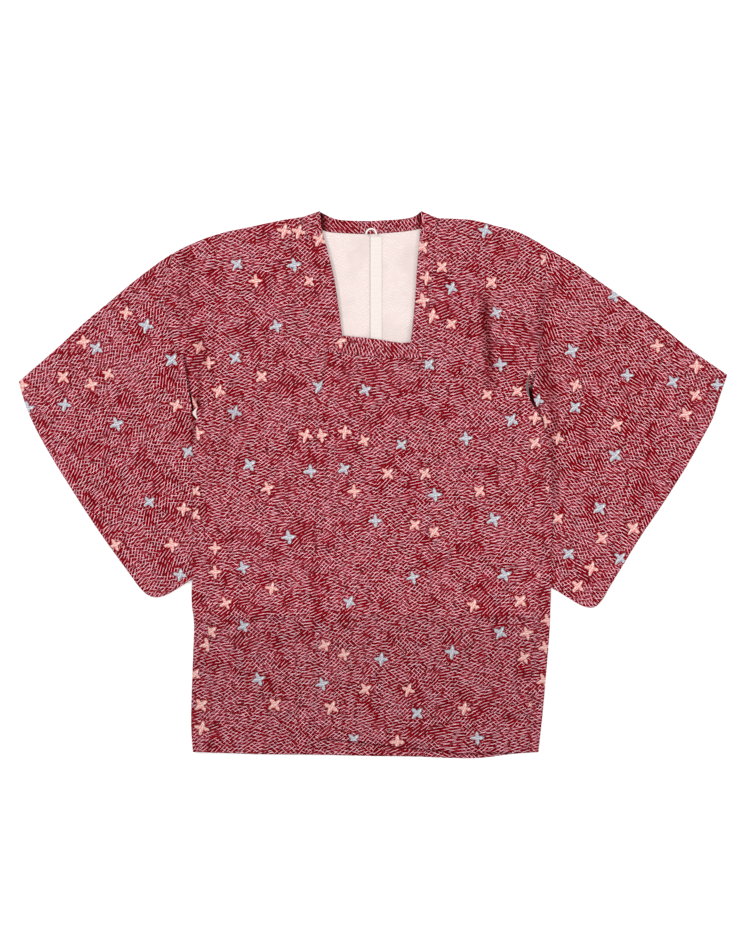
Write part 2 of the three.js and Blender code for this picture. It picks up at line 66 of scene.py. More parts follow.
# Each lamp: place and size in metres, power in watts.
LAMPS = {
    "key_light": ((-3.8, 2.9, 3.0), 1.3, 171),
    "fill_light": ((3.4, -0.8, 3.0), 2.0, 70),
    "top_light": ((0.2, 0.2, 4.4), 2.6, 80),
}
ROOM_BRIGHTNESS = 0.57


def new_material(name, roughness):
    """A new Principled material of this roughness, and its shader."""
    material = bpy.data.materials.new(name)
    material.use_nodes = True
    shader = material.node_tree.nodes["Principled BSDF"]
    shader.inputs["Roughness"].default_value = roughness
    return material, shader


def new_object(name, points, faces, *materials):
    """A smooth object of these points and faces, linked to the scene."""
    mesh = bpy.data.meshes.new(name)
    mesh.from_pydata(points, [], faces, shade_flat=False)
    for material in materials:
        mesh.materials.append(material)
    thing = bpy.data.objects.new(name, mesh)
    bpy.context.scene.collection.objects.link(thing)
    return thing


floor_material, floor_shader = new_material("floor_white", 0.9)
floor_shader.inputs["Base Color"].default_value = FLOOR_WHITE
signs = ((-1, -1), (1, -1), (1, 1), (-1, 1))
corners = [(x * FLOOR_HALF_SIZE, y * FLOOR_HALF_SIZE, -FLOOR_DROP) for x, y in signs]
floor = new_object("floor", corners, [(0, 1, 2, 3)], floor_material)

for name, (place, size, power) in LAMPS.items():
    lamp_data = bpy.data.lights.new(name, "AREA")
    lamp_data.size = size
    lamp_data.energy = power
    lamp = bpy.data.objects.new(name, lamp_data)
    lamp.location = place
    lamp.rotation_mode = "QUATERNION"
    lamp.rotation_quaternion = (-lamp.location).to_track_quat("-Z", "Y")
    bpy.context.scene.collection.objects.link(lamp)

world = bpy.data.worlds.new("pale_room")
world.use_nodes = True
world.node_tree.nodes["Background"].inputs["Color"].default_value = (1, 1, 1, 1)
world.node_tree.nodes["Background"].inputs["Strength"].default_value = ROOM_BRIGHTNESS
bpy.context.scene.world = world
bpy.context.scene.view_settings.view_transform = "Standard"


# ---------------------------------------------------------------- cloth: printed silk crepe
# Thin crimson crepe, printed all over with short pale brush strokes that lie across the loom
# width, and scattered with small four-petalled flowers in grey and salmon. Its wrong side is a
# pale pink on which the print only just shows.
CRIMSON = (0.180, 0.0004, 0.0042)
CRIMSON_DEEP = (0.120, 0.0003, 0.0026)
DUSKY_STROKE = (0.42, 0.095, 0.135)
PALE_STROKE = (1.0, 0.50, 0.61)
BRIGHT_STROKE = (1.0, 0.90, 0.94)
GREY_PETAL = (0.26, 0.27, 0.33)
SALMON_PETAL = (0.58, 0.20, 0.175)
PETAL_GLEAM = (0.78, 0.77, 0.75)
PALE_SIDE = (0.74, 0.68, 0.66)
PALE_SIDE_GHOST = (0.59, 0.465, 0.445)
PALE_SIDE_DULL = (0.57, 0.52, 0.485)
PRINT_ON_WRONG_SIDE = 0.6  # how far the ground colour comes through to the wrong side
AGEING = 0.7  # how far the wrong side has gone dull, at its dullest
DOUBLED_SHADE = 0.86  # what two layers of the cloth reflect, as a share of what one does
SHADE_POWERS = (1.0, 1.8, 1.7)  # light that gets into a fold has been reddened by the cloth
# Three kinds of stroke: patch size and pitch in metres, lean and spread of the lean in degrees, half
# width in pitches, share of the patches that have any.
HATCHES = {
    "pale": {"patch": 0.028, "pitch": 0.0049, "lean": 30, "spread": 44, "width": 0.057, "share": 1.0},
    "pale_cross": {"patch": 0.022, "pitch": 0.0060, "lean": -22, "spread": 50, "width": 0.042, "share": 0.8},
    "dusky": {"patch": 0.019, "pitch": 0.0038, "lean": 6, "spread": 80, "width": 0.09, "share": 0.35},
}
# Where each kind reads its patches, so that they don't coincide.
HATCH_OFFSETS = {"pale": (0.0, 0.0, 0.0), "pale_cross": (0.37, 0.19, 0.0), "dusky": (0.61, 0.43, 0.0)}
CROSS_STRENGTH = 0.9
DUSKY_STRENGTH = 0.85
STROKE_LENGTH = 0.022
STROKE_ENDS = {"full": 0.12, "narrowing": 0.72, "gone": 0.9}  # shares of a stroke's run
STROKE_EDGE = 0.02  # softness across, in pitches
STRAY = 0.0006  # how far a stroke wanders from its line, in metres
PETAL_SLIMNESS = 0.28  # half width over length
PETAL_RAGGEDNESS = 0.42
RIB_HEIGHT = 0.6  # of the weft's ribs, over that of the pebbles
CREPE_ROUGHNESS = 0.82
CREPE_SHEEN = 0.04


class Nodes:
    """Short calls for placing and joining the nodes of one shader tree."""

    def __init__(self, tree):
        self.tree = tree

    def add(self, kind, links=(), **settings):
        node = self.tree.nodes.new(kind)
        for key, value in settings.items():
            setattr(node, key, value)
        for socket, source in dict(links).items():
            self.feed(node.inputs[socket], source)
        return node

    def feed(self, socket, source):
        if isinstance(source, bpy.types.NodeSocket):
            self.tree.links.new(source, socket)
        elif isinstance(source, tuple) and len(source) == 3 and socket.type == "RGBA":
            socket.default_value = (*source, 1)
        else:
            socket.default_value = source

    def math(self, operation, *values):
        return self.add("ShaderNodeMath", dict(enumerate(values)), operation=operation).outputs[0]

    def vector(self, operation, *values):
        sockets = (0, 3) if operation == "SCALE" else range(len(values))
        return self.add("ShaderNodeVectorMath", dict(zip(sockets, values)), operation=operation).outputs[0]

    def mix(self, share, a, b):
        return self.add("ShaderNodeMix", {0: share, 6: a, 7: b}, data_type="RGBA").outputs[2]

    def ramp(self, value, low, high):
        """0 below low, 1 above high, and a smooth rise between."""
        links = {0: value, 1: low, 2: high}
        return self.add("ShaderNodeMapRange", links, interpolation_type="SMOOTHSTEP").outputs[0]

    def noise(self, vector, scale, detail=2.0):
        return self.add("ShaderNodeTexNoise", {"Vector": vector, "Scale": scale, "Detail": detail})

    def bump(self, height, strength, distance):
        links = {"Height": height, "Strength": strength, "Distance": distance}
        return self.add("ShaderNodeBump", links).outputs["Normal"]


def new_group(name, inputs, outputs):
    """An empty shader group with named sockets; returns the group, its nodes and its input node."""
    group = bpy.data.node_groups.new(name, "ShaderNodeTree")
    for label, kind in inputs:
        group.interface.new_socket(label, in_out="INPUT", socket_type=kind)
    for label, kind in outputs:
        group.interface.new_socket(label, in_out="OUTPUT", socket_type=kind)
    return group, Nodes(group), group.nodes.new("NodeGroupInput")


def hatching_group():
    """Patches of parallel brush strokes. Each patch is a Voronoi cell with its own slant; across
    the slant a saw-tooth of the pitch makes strokes, and along it a second one, at a place of its
    own for each stroke, breaks them up. A noise makes their width uneven."""
    names = ("Patch", "Pitch", "Lean", "Spread", "Width", "Share")
    group, n, given = new_group(
        "hatching",
        [("Vector", "NodeSocketVector"), *((name, "NodeSocketFloat") for name in names)],
        [("Mask", "NodeSocketFloat")],
    )
    patch, pitch, lean, spread, width, share = (given.outputs[name] for name in names)
    place = given.outputs["Vector"]
    wobble = n.vector("SUBTRACT", n.noise(place, 110.0).outputs["Color"], (0.5, 0.5, 0.5))
    shifted = n.vector("MULTIPLY_ADD", wobble, (STRAY, STRAY, 0.0), place)
    scale = n.math("DIVIDE", 1.0, patch)
    cells = n.add("ShaderNodeTexVoronoi", {"Vector": shifted, "Scale": scale}, voronoi_dimensions="2D")
    chance = n.add("ShaderNodeSeparateColor", {"Color": cells.outputs["Color"]}).outputs
    angle = n.math("ADD", n.math("MULTIPLY", n.math("SUBTRACT", chance[0], 0.5), spread), lean)
    turned = n.add("ShaderNodeVectorRotate", {"Vector": shifted, "Angle": angle},
                   rotation_type="Z_AXIS", invert=True)
    along, across, _ = n.add("ShaderNodeSeparateXYZ", {"Vector": turned.outputs[0]}).outputs
    steps = n.math("ADD", n.math("DIVIDE", across, pitch), chance[1])
    number = n.math("FLOOR", steps)
    seed = n.add("ShaderNodeCombineXYZ", {"X": number, "Y": chance[2]}).outputs[0]
    own = n.add("ShaderNodeTexWhiteNoise", {"Vector": seed}, noise_dimensions="3D").outputs["Value"]
    run = n.math("FRACT", n.math("ADD", n.math("DIVIDE", along, STROKE_LENGTH), own))
    fading = n.ramp(run, STROKE_ENDS["narrowing"], STROKE_ENDS["gone"])
    end = n.math("MULTIPLY", n.ramp(run, 0.0, STROKE_ENDS["full"]), n.math("SUBTRACT", 1.0, fading))
    wave = n.math("ABSOLUTE", n.math("SUBTRACT", n.math("FRACT", steps), 0.5))
    uneven = n.noise(turned.outputs[0], 90.0, 1.0).outputs["Fac"]
    half = n.math("MULTIPLY", width, n.math("ADD", n.math("MULTIPLY", uneven, 1.3), 0.35))
    edge = n.math("SUBTRACT", n.math("MULTIPLY", half, end), wave)
    inked = n.math("LESS_THAN", chance[2], share)
    n.add("NodeGroupOutput", {"Mask": n.math("MULTIPLY", n.ramp(edge, -STROKE_EDGE, STROKE_EDGE), inked)})
    return group


def print_group():
    """The whole print. Three layers of hatching over the ground colour, then the flowers: a point
    is inside a petal where x^2 + (y / slimness)^2 is under 1, taken along both of its axes."""
    group, n, given = new_group(
        "crepe_print",
        [("Cloth", "NodeSocketVector"), ("Flower", "NodeSocketVector"), ("Kind", "NodeSocketFloat")],
        [("Color", "NodeSocketColor"), ("Strokes", "NodeSocketFloat")],
    )
    cloth = given.outputs["Cloth"]
    hatching = hatching_group()

    def hatch(kind):
        values = {label.capitalize(): value for label, value in HATCHES[kind].items()}
        values.update({angle: math.radians(values[angle]) for angle in ("Lean", "Spread")})
        values["Vector"] = n.vector("ADD", cloth, HATCH_OFFSETS[kind])
        return n.add("ShaderNodeGroup", values, node_tree=hatching).outputs["Mask"]

    ground = n.mix(n.ramp(n.noise(cloth, 60.0, 3.0).outputs["Fac"], 0.35, 0.7), CRIMSON, CRIMSON_DEEP)
    speckle = n.noise(cloth, 420.0).outputs["Fac"]
    dusky_mask = n.math("MULTIPLY", hatch("dusky"), DUSKY_STRENGTH)
    strokes, cross = hatch("pale"), hatch("pale_cross")
    pale_mask = n.math("MAXIMUM", strokes, n.math("MULTIPLY", cross, CROSS_STRENGTH))
    crossing = n.math("MAXIMUM", n.ramp(speckle, 0.42, 0.72), n.math("MULTIPLY", strokes, cross))
    pale = n.mix(crossing, PALE_STROKE, BRIGHT_STROKE)

    # flowers
    rough_edge = n.vector("SUBTRACT", n.noise(cloth, 330.0).outputs["Color"], (0.5, 0.5, 0.5))
    nudge = n.vector("SCALE", rough_edge, PETAL_RAGGEDNESS)
    flower = n.vector("ABSOLUTE", n.vector("ADD", given.outputs["Flower"], nudge))
    part = n.add("ShaderNodeSeparateXYZ", {"Vector": flower}).outputs
    long_x, long_y = (n.math("POWER", part[axis], 2.0) for axis in (0, 1))
    thin_x, thin_y = (n.math("POWER", n.math("DIVIDE", part[a], PETAL_SLIMNESS), 2.0) for a in (0, 1))
    inside = n.math("MINIMUM", n.math("ADD", long_x, thin_y), n.math("ADD", thin_x, long_y))
    petals = n.math("SUBTRACT", 1.0, n.ramp(inside, 0.75, 1.1))
    margin = n.ramp(inside, 1.2, 2.4)
    petal = n.mix(n.math("GREATER_THAN", given.outputs["Kind"], 1.5), GREY_PETAL, SALMON_PETAL)
    drawn_out = n.vector("MULTIPLY", given.outputs["Flower"], (2.6, 6.0, 1.0))
    brushed = n.ramp(n.noise(drawn_out, 1.0, 4.0).outputs["Fac"], 0.40, 0.66)
    gleam = n.mix(n.math("MULTIPLY", brushed, 0.75), petal, PETAL_GLEAM)
    pale_mask = n.math("MULTIPLY", pale_mask, margin)
    printed = n.mix(pale_mask, n.mix(dusky_mask, ground, DUSKY_STROKE), pale)
    n.add("NodeGroupOutput", {"Color": n.mix(petals, printed, gleam), "Strokes": pale_mask})
    return group


def crepe_surface_group():
    """Height of the crepe itself: tight pebbles from a fine noise, over weaker ribs along the weft."""
    group, n, given = new_group(
        "crepe_surface", [("Cloth", "NodeSocketVector")], [("Height", "NodeSocketFloat")]
    )
    pebble = n.noise(given.outputs["Cloth"], 900.0, 3.0).outputs["Fac"]
    along = n.vector("MULTIPLY", given.outputs["Cloth"], (180.0, 1500.0, 1.0))
    ribs = n.math("MULTIPLY", n.noise(along, 1.0, 1.0).outputs["Fac"], RIB_HEIGHT)
    n.add("NodeGroupOutput", {"Height": n.math("ADD", pebble, ribs)})
    return group


PRINT = print_group()
CREPE_SURFACE = crepe_surface_group()


def crepe_material(name, wrong_side=False):
    """The printed crepe, seen from its right side or, much fainter, from its wrong side. The folds'
    shade and the doubled hem darken it."""
    material, shader = new_material(name, CREPE_ROUGHNESS)
    n = Nodes(material.node_tree)
    cloth, flower = (n.add("ShaderNodeUVMap", uv_map=layer).outputs[0] for layer in ("cloth", "flower"))
    kind, doubled, creased = (
        n.add("ShaderNodeAttribute", attribute_name=label).outputs["Fac"]
        for label in ("flower_kind", "doubled", "creased")
    )
    pattern = n.add("ShaderNodeGroup", {"Cloth": cloth, "Flower": flower, "Kind": kind}, node_tree=PRINT)
    if wrong_side:
        ghost = n.math("SUBTRACT", 1.0, pattern.outputs["Strokes"])
        worn = n.ramp(n.noise(cloth, 22.0, 5.0).outputs["Fac"], 0.42, 0.70)
        aged = n.mix(n.math("MULTIPLY", worn, AGEING), PALE_SIDE, PALE_SIDE_DULL)
        colour = n.mix(n.math("MULTIPLY", ghost, PRINT_ON_WRONG_SIDE), aged, PALE_SIDE_GHOST)
    else:
        darker = n.math("MULTIPLY", n.ramp(doubled, -0.08, 0.08), 1 - DOUBLED_SHADE)
        colour = n.vector("SCALE", pattern.outputs["Color"], n.math("SUBTRACT", 1.0, darker))
    # Painted shade: where folds, hems and upper layers keep the light off, the colour is darkened here, and
    # reddened on the right side.
    light = n.math("SUBTRACT", 1.0, creased)
    powers = (1.0, 1.0, 1.0) if wrong_side else SHADE_POWERS
    parts = {axis: n.math("POWER", light, power) for axis, power in enumerate(powers)}
    shade = n.add("ShaderNodeCombineXYZ", parts).outputs[0]
    n.feed(shader.inputs["Base Color"], n.vector("MULTIPLY", colour, shade))
    surface = n.add("ShaderNodeGroup", {"Cloth": cloth}, node_tree=CREPE_SURFACE)
    n.feed(shader.inputs["Normal"], n.bump(surface.outputs["Height"], 0.35, 0.0006))
    shader.inputs["Specular IOR Level"].default_value = CREPE_SHEEN
    return material


CREPE = crepe_material("crepe_right_side")
CREPE_WRONG = crepe_material("crepe_wrong_side", wrong_side=True)


# ---------------------------------------------------------------- body: two lengths of crepe
# Each side is a single length of cloth, from the front hem over the shoulder to the back hem. The
# two meet in the centre back seam. Hems are turned up deep, so the lower part is double. The
# pieces lie on each other as they do on the floor, and the heights below follow that order.
MM = 0.001  # places and sizes of the cloth are in millimetres from here on
CLOTH = 1.2
COLLAR_CLOTH = 1.8
SEAM_GAP = 0.35
LAYER_GAP = 0.4
REST_GAP = 1.6  # between front and back where nothing lifts or presses the cloth
LEAST_GAP = 0.6
TUCKED_GAP = 0.5  # inside the part of a sleeve that the body lies on
SLEEVE_STACK = 2 * CLOTH + TUCKED_GAP + LAYER_GAP  # lift of the body over a tucked sleeve
OVERLAP_LIFT = COLLAR_CLOTH + LAYER_GAP  # of the left front over the right one
CENTRE_BACK_X = -5
BACK_HEM_Y = -461
BACK_NECK_Y = 426
CLEAR = 16  # how far from a tucked sleeve's edge the body comes down off it,
FADE = 30  # and how long it takes to
FACING_TOP = -221  # upper edge of the turned-up hem
SEAM_DIP = 0.25  # how far the cloth turns down into a seam or an edge
SEAM_DIP_REACH = 1.7
BACK_SEAM_DIP = 0.4
GREY, SALMON, BUD = 1, 2, 3  # kinds of flower; a bud is a small salmon one
FLOWER_REACH = 12.8  # from the middle of a flower to the tip of a petal
BUD_REACH = 5.5

NECK = {
    "right": {
        "seam": [[-80, 218], [-90, 280], [-104, 365], [-119, 455]],
        "free": [[-50, 236], [-63, 333], [-75, 389], [-86, 430], [-90, 465]],
        "back_seam": [[-5, 426], [-56, 428], [-80, 431], [-100, 440], [-119, 455]],
        "back_free": [[-5, 448], [-56, 450], [-83, 460], [-90, 465]],
    },
    "left": {
        "seam": [[88, 216], [95, 300], [103, 390], [110, 453]],
        "free": [[64, 242], [70, 297], [75, 370], [80, 430], [82, 465]],
        "back_seam": [[-5, 426], [46, 430], [74, 434], [92, 440], [110, 453]],
        "back_free": [[-5, 448], [46, 451], [70, 456], [82, 465]],
    },
}
TOP_FOLD = {
    "right": [
        [-119, 455], [-158, 449], [-209, 438], [-252, 429], [-292, 416], [-342, 392],
        [-394, 355], [-444, 314], [-493, 273], [-537, 232], [-583, 192], [-602, 175],
    ],
    "left": [
        [110, 453], [167, 450], [209, 440], [246, 430], [274, 416], [294, 404],
        [343, 375], [371, 355], [430, 314], [486, 273], [537, 232], [602, 187],
    ],
}
BODY_FOLD_SHARE = {"right": 0.407, "left": 0.34}
OUTWARD = {"right": -1, "left": 1}
HEM = {
    "back": {
        "right": [[-5, -461], [-90, -459], [-192, -458], [-275, -455]],
        "left": [[-5, -461], [73, -462], [130, -464.4], [180, -464.4], [225, -459], [265, -455]],
    },
    "front": {
        "right": [[-92, -458], [-192, -457], [-275, -455]],
        "left": [[102, -449], [148, -456], [200, -455], [265, -455]],
    },
}
SIDE_SEAM = {
    "right": [[-275, -455], [-275, -366], [-279, -264], [-286, -179], [-300, -31], [-300, 96]],
    "left": [[265, -455], [270, -366], [277, -264], [282, -179], [291, -60], [295, 80]],
}
# The back's open edge lies further in than the front's, so that the slit doesn't go straight through.
ARMHOLE = {
    "right": {
        "front_edge": [[-300, 96], [-301.5, 112], [-309.5, 158], [-320, 205]],
        "back_edge": [[-300, 96], [-297, 112], [-300, 158], [-320, 205]],
        "seam": [[-320, 205], [-343, 255], [-352, 314]],
    },
    "left": {
        "front_edge": [[295, 80], [284, 116], [268, 142], [265, 166], [279, 198]],
        "back_edge": [[295, 80], [277, 112], [257, 142], [255, 168], [279, 198]],
        "seam": [[279, 198], [285, 240], [290, 290], [292, 340]],
    },
}
BAND_SEAM = {
    "right": [[-92, -458], [-90, -181], [-88, 60], [-80, 218]],
    "left": [[102, -449], [100, -332], [98, -196], [95, -60], [88, 64], [88, 216]],
}
# Where a sleeve's inner edge runs under the body: from the underarm down to the sleeve's bottom.
TUCK = {
    "right": {"top": (-300, 112), "low": (-252, -128), "bottom": (-309, -162)},
    "left": {"top": (290, 98), "low": (241, -138), "bottom": (299, -172)},
}
# Shares of a panel's height at which one seam ends and the next begins.
UNDERARM = 0.62
SLEEVE_FOOT = 0.74
BACK_NECK = 0.87

# Soft rises of the cloth: centre x and y, reach each way, height.
PUFFS = np.array([
    (-90, 380, 60, 120, 2.2),
    (85, 380, 60, 120, 2.2),
    (-225, 290, 80, 100, 4.0),
    (155, 265, 38, 110, 4.0),
    (240, 270, 42, 95, 5.5),
    (-385, 200, 80, 110, 4.0),
    (340, 230, 56, 110, 6.0),
    (450, 120, 70, 110, 1.8),
    (-430, -10, 60, 80, 1.6),
    (0, -100, 120, 200, 0.9),
    (180, -250, 60, 120, 1.3),
    (-190, -200, 60, 150, 1.2),
])
# Troughs between two ends: x and y of each end, half width, depth.
CREASES = np.array([
    (189, 345, 199, 170, 8, 6.5),
    (297, 340, 284, 250, 8, 5.5),
    (284, 250, 308, 95, 9, 6),
    (-290, 250, -294, 150, 7, 4.5),
    (-315, 385, -318, 265, 11, 3.5),
    (-233, 122, -284, 0, 12, 1.5),
])

# Shade in the folds: x and y of each end, half width, share of the light that is kept out.
FOLD_SHADES = [
    (188, 325, 192, 290, 4.5, 0.36), (191, 305, 199, 205, 7.5, 0.60), (198, 215, 202, 170, 10, 0.30),
    (299, 335, 285, 262, 10, 0.20), (285, 262, 298, 175, 12, 0.25), (298, 180, 312, 95, 9, 0.32),
    (302, 100, 311, -25, 6, 0.25), (-290, 250, -294, 190, 7, 0.22), (-315, 385, -318, 265, 11, 0.14),
    (-233, 122, -284, 0, 12, 0.12), (-309, 120, -305, 78, 4, 0.45), (-320, 219, -311, 160, 2.4, 0.75),
    (-285, 238, -285, 206, 4, 0.35),
]


def smooth_step(value, low, high):
    """0 below low, 1 above high, and 3 t^2 - 2 t^3 of the share t between."""
    share = np.clip((value - low) / (high - low), 0, 1)
    return share * share * (3 - 2 * share)


def loft(x, y):
    """Height of the front over the back: the rest gap, plus a bell for each puff, less a long
    trough for each crease, and never under the least gap."""
    height = np.full(np.shape(x), REST_GAP, float)
    for cx, cy, reach_x, reach_y, rise in PUFFS:
        height += rise * np.exp(-(((x - cx) / reach_x) ** 2) - ((y - cy) / reach_y) ** 2)
    for x0, y0, x1, y1, width, depth in CREASES:
        dx, dy = x1 - x0, y1 - y0
        length = math.hypot(dx, dy)
        along = ((x - x0) * dx + (y - y0) * dy) / length**2
        across = ((x - x0) * dy - (y - y0) * dx) / length
        ends = smooth_step(along, -0.15, 0.15) * (1 - smooth_step(along, 0.85, 1.15))
        height -= depth * ends * np.exp(-((across / width) ** 4))
    return np.maximum(height, LEAST_GAP)


def shaded_lines(x, y, lines):
    """The deepest of some bells of shade, each round the stretch between two points."""
    depth = np.zeros(np.shape(x))
    for x0, y0, x1, y1, width, shade in lines:
        dx, dy = x1 - x0, y1 - y0
        along = np.clip(((x - x0) * dx + (y - y0) * dy) / (dx**2 + dy**2), 0, 1)
        gap = np.hypot(x - x0 - along * dx, y - y0 - along * dy)
        depth = np.maximum(depth, shade * np.exp(-((gap / width) ** 2)))
    return depth


def shade_of_folds(x, y, inside):
    """How much light the folds keep off the cloth's right side; its inside is even."""
    return np.where(inside, 0, shaded_lines(x, y, FOLD_SHADES))


def over_sleeve(side, x, y):
    """1 where the body lies on the tucked sleeve, 0 where it lies on the floor."""
    (top_x, top_y), (low_x, low_y), (bottom_x, bottom_y) = TUCK[side].values()
    edge_x = top_x + (low_x - top_x) * (top_y - y) / (top_y - low_y)
    bottom_edge_y = bottom_y + (low_y - bottom_y) * (x - bottom_x) / (low_x - bottom_x)
    inside = smooth_step(OUTWARD[side] * (x - edge_x), -CLEAR - FADE, -CLEAR)
    above = smooth_step(y - bottom_edge_y, -CLEAR - FADE, -CLEAR)
    return inside * above * (1 - smooth_step(y, top_y, top_y + CLEAR + FADE))


def floor_level(x, y):
    return np.zeros(np.shape(x))


def ground(x, y):
    """Height of the body's underside: the floor, or the sleeve tucked under it."""
    return SLEEVE_STACK * np.maximum(over_sleeve("right", x, y), over_sleeve("left", x, y))


def under_front(x, y):
    """Height of the right front's wrong side."""
    return ground(x, y) + CLOTH + loft(x, y)


def upper_front(x, y):
    """Height of the left front's wrong side, which the right front and collar lift in the middle."""
    lift = (1 - smooth_step(x, 92, 92 + FADE)) * (1 - smooth_step(y, 256, 256 + FADE))
    return under_front(x, y) + OVERLAP_LIFT * lift


def raised(height, by):
    """The same surface, this much higher."""
    return lambda x, y: height(x, y) + by


def line(points):
    """A smooth curve through the points (Catmull-Rom), read by its share of the length."""
    given = np.array(points, float)
    fine = np.linspace(0, len(given) - 1, 60 * (len(given) - 1) + 1)
    first = np.minimum(fine.astype(int), len(given) - 2)
    t = (fine - first)[:, None]
    p0, p1 = given[np.maximum(first - 1, 0)], given[first]
    p2, p3 = given[first + 1], given[np.minimum(first + 2, len(given) - 1)]
    v0, v1 = (p2 - p0) / 2, (p3 - p1) / 2
    path = (2 * p1 - 2 * p2 + v0 + v1) * t**3 + (3 * p2 - 3 * p1 - 2 * v0 - v1) * t**2 + v0 * t + p1
    run = np.concatenate([[0], np.cumsum(np.hypot(*np.diff(path, axis=0).T))])
    run /= run[-1]
    return lambda share: np.stack([np.interp(share, run, path[:, axis]) for axis in (0, 1)], -1)


def joined(first, second, split):
    """Two lines end to end, with a corner between them at the share `split`."""
    def whole(share):
        share = np.asarray(share, float)
        near, far = first(np.minimum(share / split, 1)), second(np.maximum(share - split, 0) / (1 - split))
        return np.where((share < split)[..., None], near, far)
    return whole


def part(whole, start, end):
    """The stretch of a line between two shares of its length."""
    return lambda share: whole(start + (end - start) * np.asarray(share, float))


def trimmed(whole, start, end):
    """A line moved sideways, by `start` at its beginning and by `end` at its end."""
    def moved(share):
        shift = start + (end - start) * np.asarray(share, float)
        return whole(share) + np.stack([shift, np.zeros_like(shift)], -1)
    return moved


def panel(inner, outer, bottom, top):
    """A four-sided piece of cloth on a grid: the straight blend of the inner and outer edges, plus
    the bulge of the bottom and top edges fading away from each, plus a correction at the corners."""
    def shape(us, vs):
        u, v = us[None, :, None], vs[:, None, None]
        blend = (1 - u) * inner(vs)[:, None] + u * outer(vs)[:, None]
        for side, share, corner_share, at in (
            (bottom, 1 - v, 1 - smooth_step(v, 0, 0.03), 0.0),
            (top, v, smooth_step(v, 0.97, 1), 1.0),
        ):
            ends = side(np.array([0.0, 1.0]))
            chord = ends[0] + (ends[1] - ends[0]) * us[:, None]
            blend = blend + (side(us) - chord)[None] * share
            miss_inner, miss_outer = ends[0] - inner(np.array([at]))[0], ends[1] - outer(np.array([at]))[0]
            blend = blend + ((1 - u) * miss_inner + u * miss_outer) * corner_share
        return blend
    return shape


class Fold:
    """A fold between a lower layer, whose underside is at `low`, and an upper one, whose top is at
    `high`: a half circle of that height, whose outermost line is `edge`. The heights are read a
    little way into the cloth, at PROBE."""

    ANGLES = np.radians([67, 45, 22, 0, -22, -45, -67])
    MIDDLE = len(ANGLES) // 2
    PROBE = 3

    def __init__(self, edge, inward, low, high):
        self.edge, self.inward, self.low, self.high = edge, inward, low, high

    def section(self, us):
        """Along the edge: place, direction into the cloth, middle height and half height."""
        spot, direction = self.edge(us), self.inward(us)
        probe = spot + self.PROBE * direction
        low, high = self.low(*probe.T), self.high(*probe.T)
        return spot, direction, (low + high) / 2, (high - low) / 2

    def start(self, us):
        """The line where the half circle ends and the two layers lie flat."""
        spot, direction, _, radius = self.section(us)
        return spot + direction * radius[:, None]

    def rows(self, us, shell):
        """Lines round the half circle, moved in by `shell`."""
        spot, direction, middle, radius = self.section(us)
        angle = self.ANGLES[:, None]
        reach = radius - shell
        flat = spot + direction * (radius - reach * np.cos(angle))[..., None]
        return np.concatenate([flat, (middle + reach * np.sin(angle))[..., None]], -1)


def square_to(edge, heart):
    """Direction into the cloth along a line: square to it, towards the point `heart`."""
    def direction(us):
        us = np.asarray(us, float)
        along = edge(np.minimum(us + 0.005, 1)) - edge(np.maximum(us - 0.005, 0))
        square = np.stack([-along[:, 1], along[:, 0]], -1)
        square /= np.hypot(*square.T)[:, None]
        wanted = np.array(heart) - edge(us)
        return square * np.sign((square * wanted).sum(-1))[:, None]
    return direction


def top_fold(side):
    return line(TOP_FOLD[side])


def into_coat(side):
    return square_to(top_fold(side), (OUTWARD[side] * 200, -200))


def armhole_seam(side):
    """The seam between body and sleeve, up to the fold over the shoulder."""
    end = top_fold(side)(np.array([BODY_FOLD_SHARE[side]]))[0]
    return line([*ARMHOLE[side]["seam"], end])


def near_edges(count, length, edge=(0.7, 1.5, 2.6)):
    """Shares of a length in millimetres: even steps, with a few short ones at both ends."""
    close = np.array(edge) / length
    margin = close[-1] + 0.6 / count
    even = np.linspace(margin, 1 - margin, count)
    return np.concatenate([[0], close, even, 1 - close[::-1], [1]])


def lie(flat, height):
    """Points of a flat grid, at the height given for each."""
    return np.concatenate([flat, height(flat[..., 0], flat[..., 1])[..., None]], -1)


def dipped(points, edges="io", depth=SEAM_DIP):
    """The right side turned down towards the inner (i), outer (o), bottom (b) or top (t) edge of
    its grid, by a bell of the distance from that edge."""
    across = np.cumsum(np.hypot(*np.diff(points[..., :2], axis=1).transpose(2, 0, 1)), axis=1)
    across = np.pad(across, ((0, 0), (1, 0)))
    along = np.cumsum(np.hypot(*np.diff(points[..., :2], axis=0).transpose(2, 0, 1)), axis=0)
    along = np.pad(along, ((1, 0), (0, 0)))
    gap = {"i": across, "o": across[:, -1:] - across, "b": along, "t": along[-1:] - along}
    drop = sum(depth * np.exp(-((gap[e] / SEAM_DIP_REACH) ** 2)) for e in edges)
    lowered = points.copy()
    lowered[..., 2] -= np.minimum(drop, depth)
    return lowered


BACK_SHIFT = 2000.0  # the back's cloth is read this much further along, mirrored
BACK_FLOWER_SPACING = 64


def folded_over(front_flat, back_flat, fold, us, front, front_edges, back_edges=""):
    """The right and the wrong side of a cloth that is folded once: the rows of its front at the
    height `front`, the rows round the fold, and the rows of its back on the ground."""
    front_right = dipped(lie(front_flat, raised(front, CLOTH)), front_edges)
    back_wrong = dipped(lie(back_flat, raised(ground, CLOTH)), back_edges, BACK_SEAM_DIP)
    right = [front_right, fold.rows(us, 0), lie(back_flat, ground)]
    wrong = [lie(front_flat, front), fold.rows(us, CLOTH), back_wrong]
    return np.concatenate(right), np.concatenate(wrong)


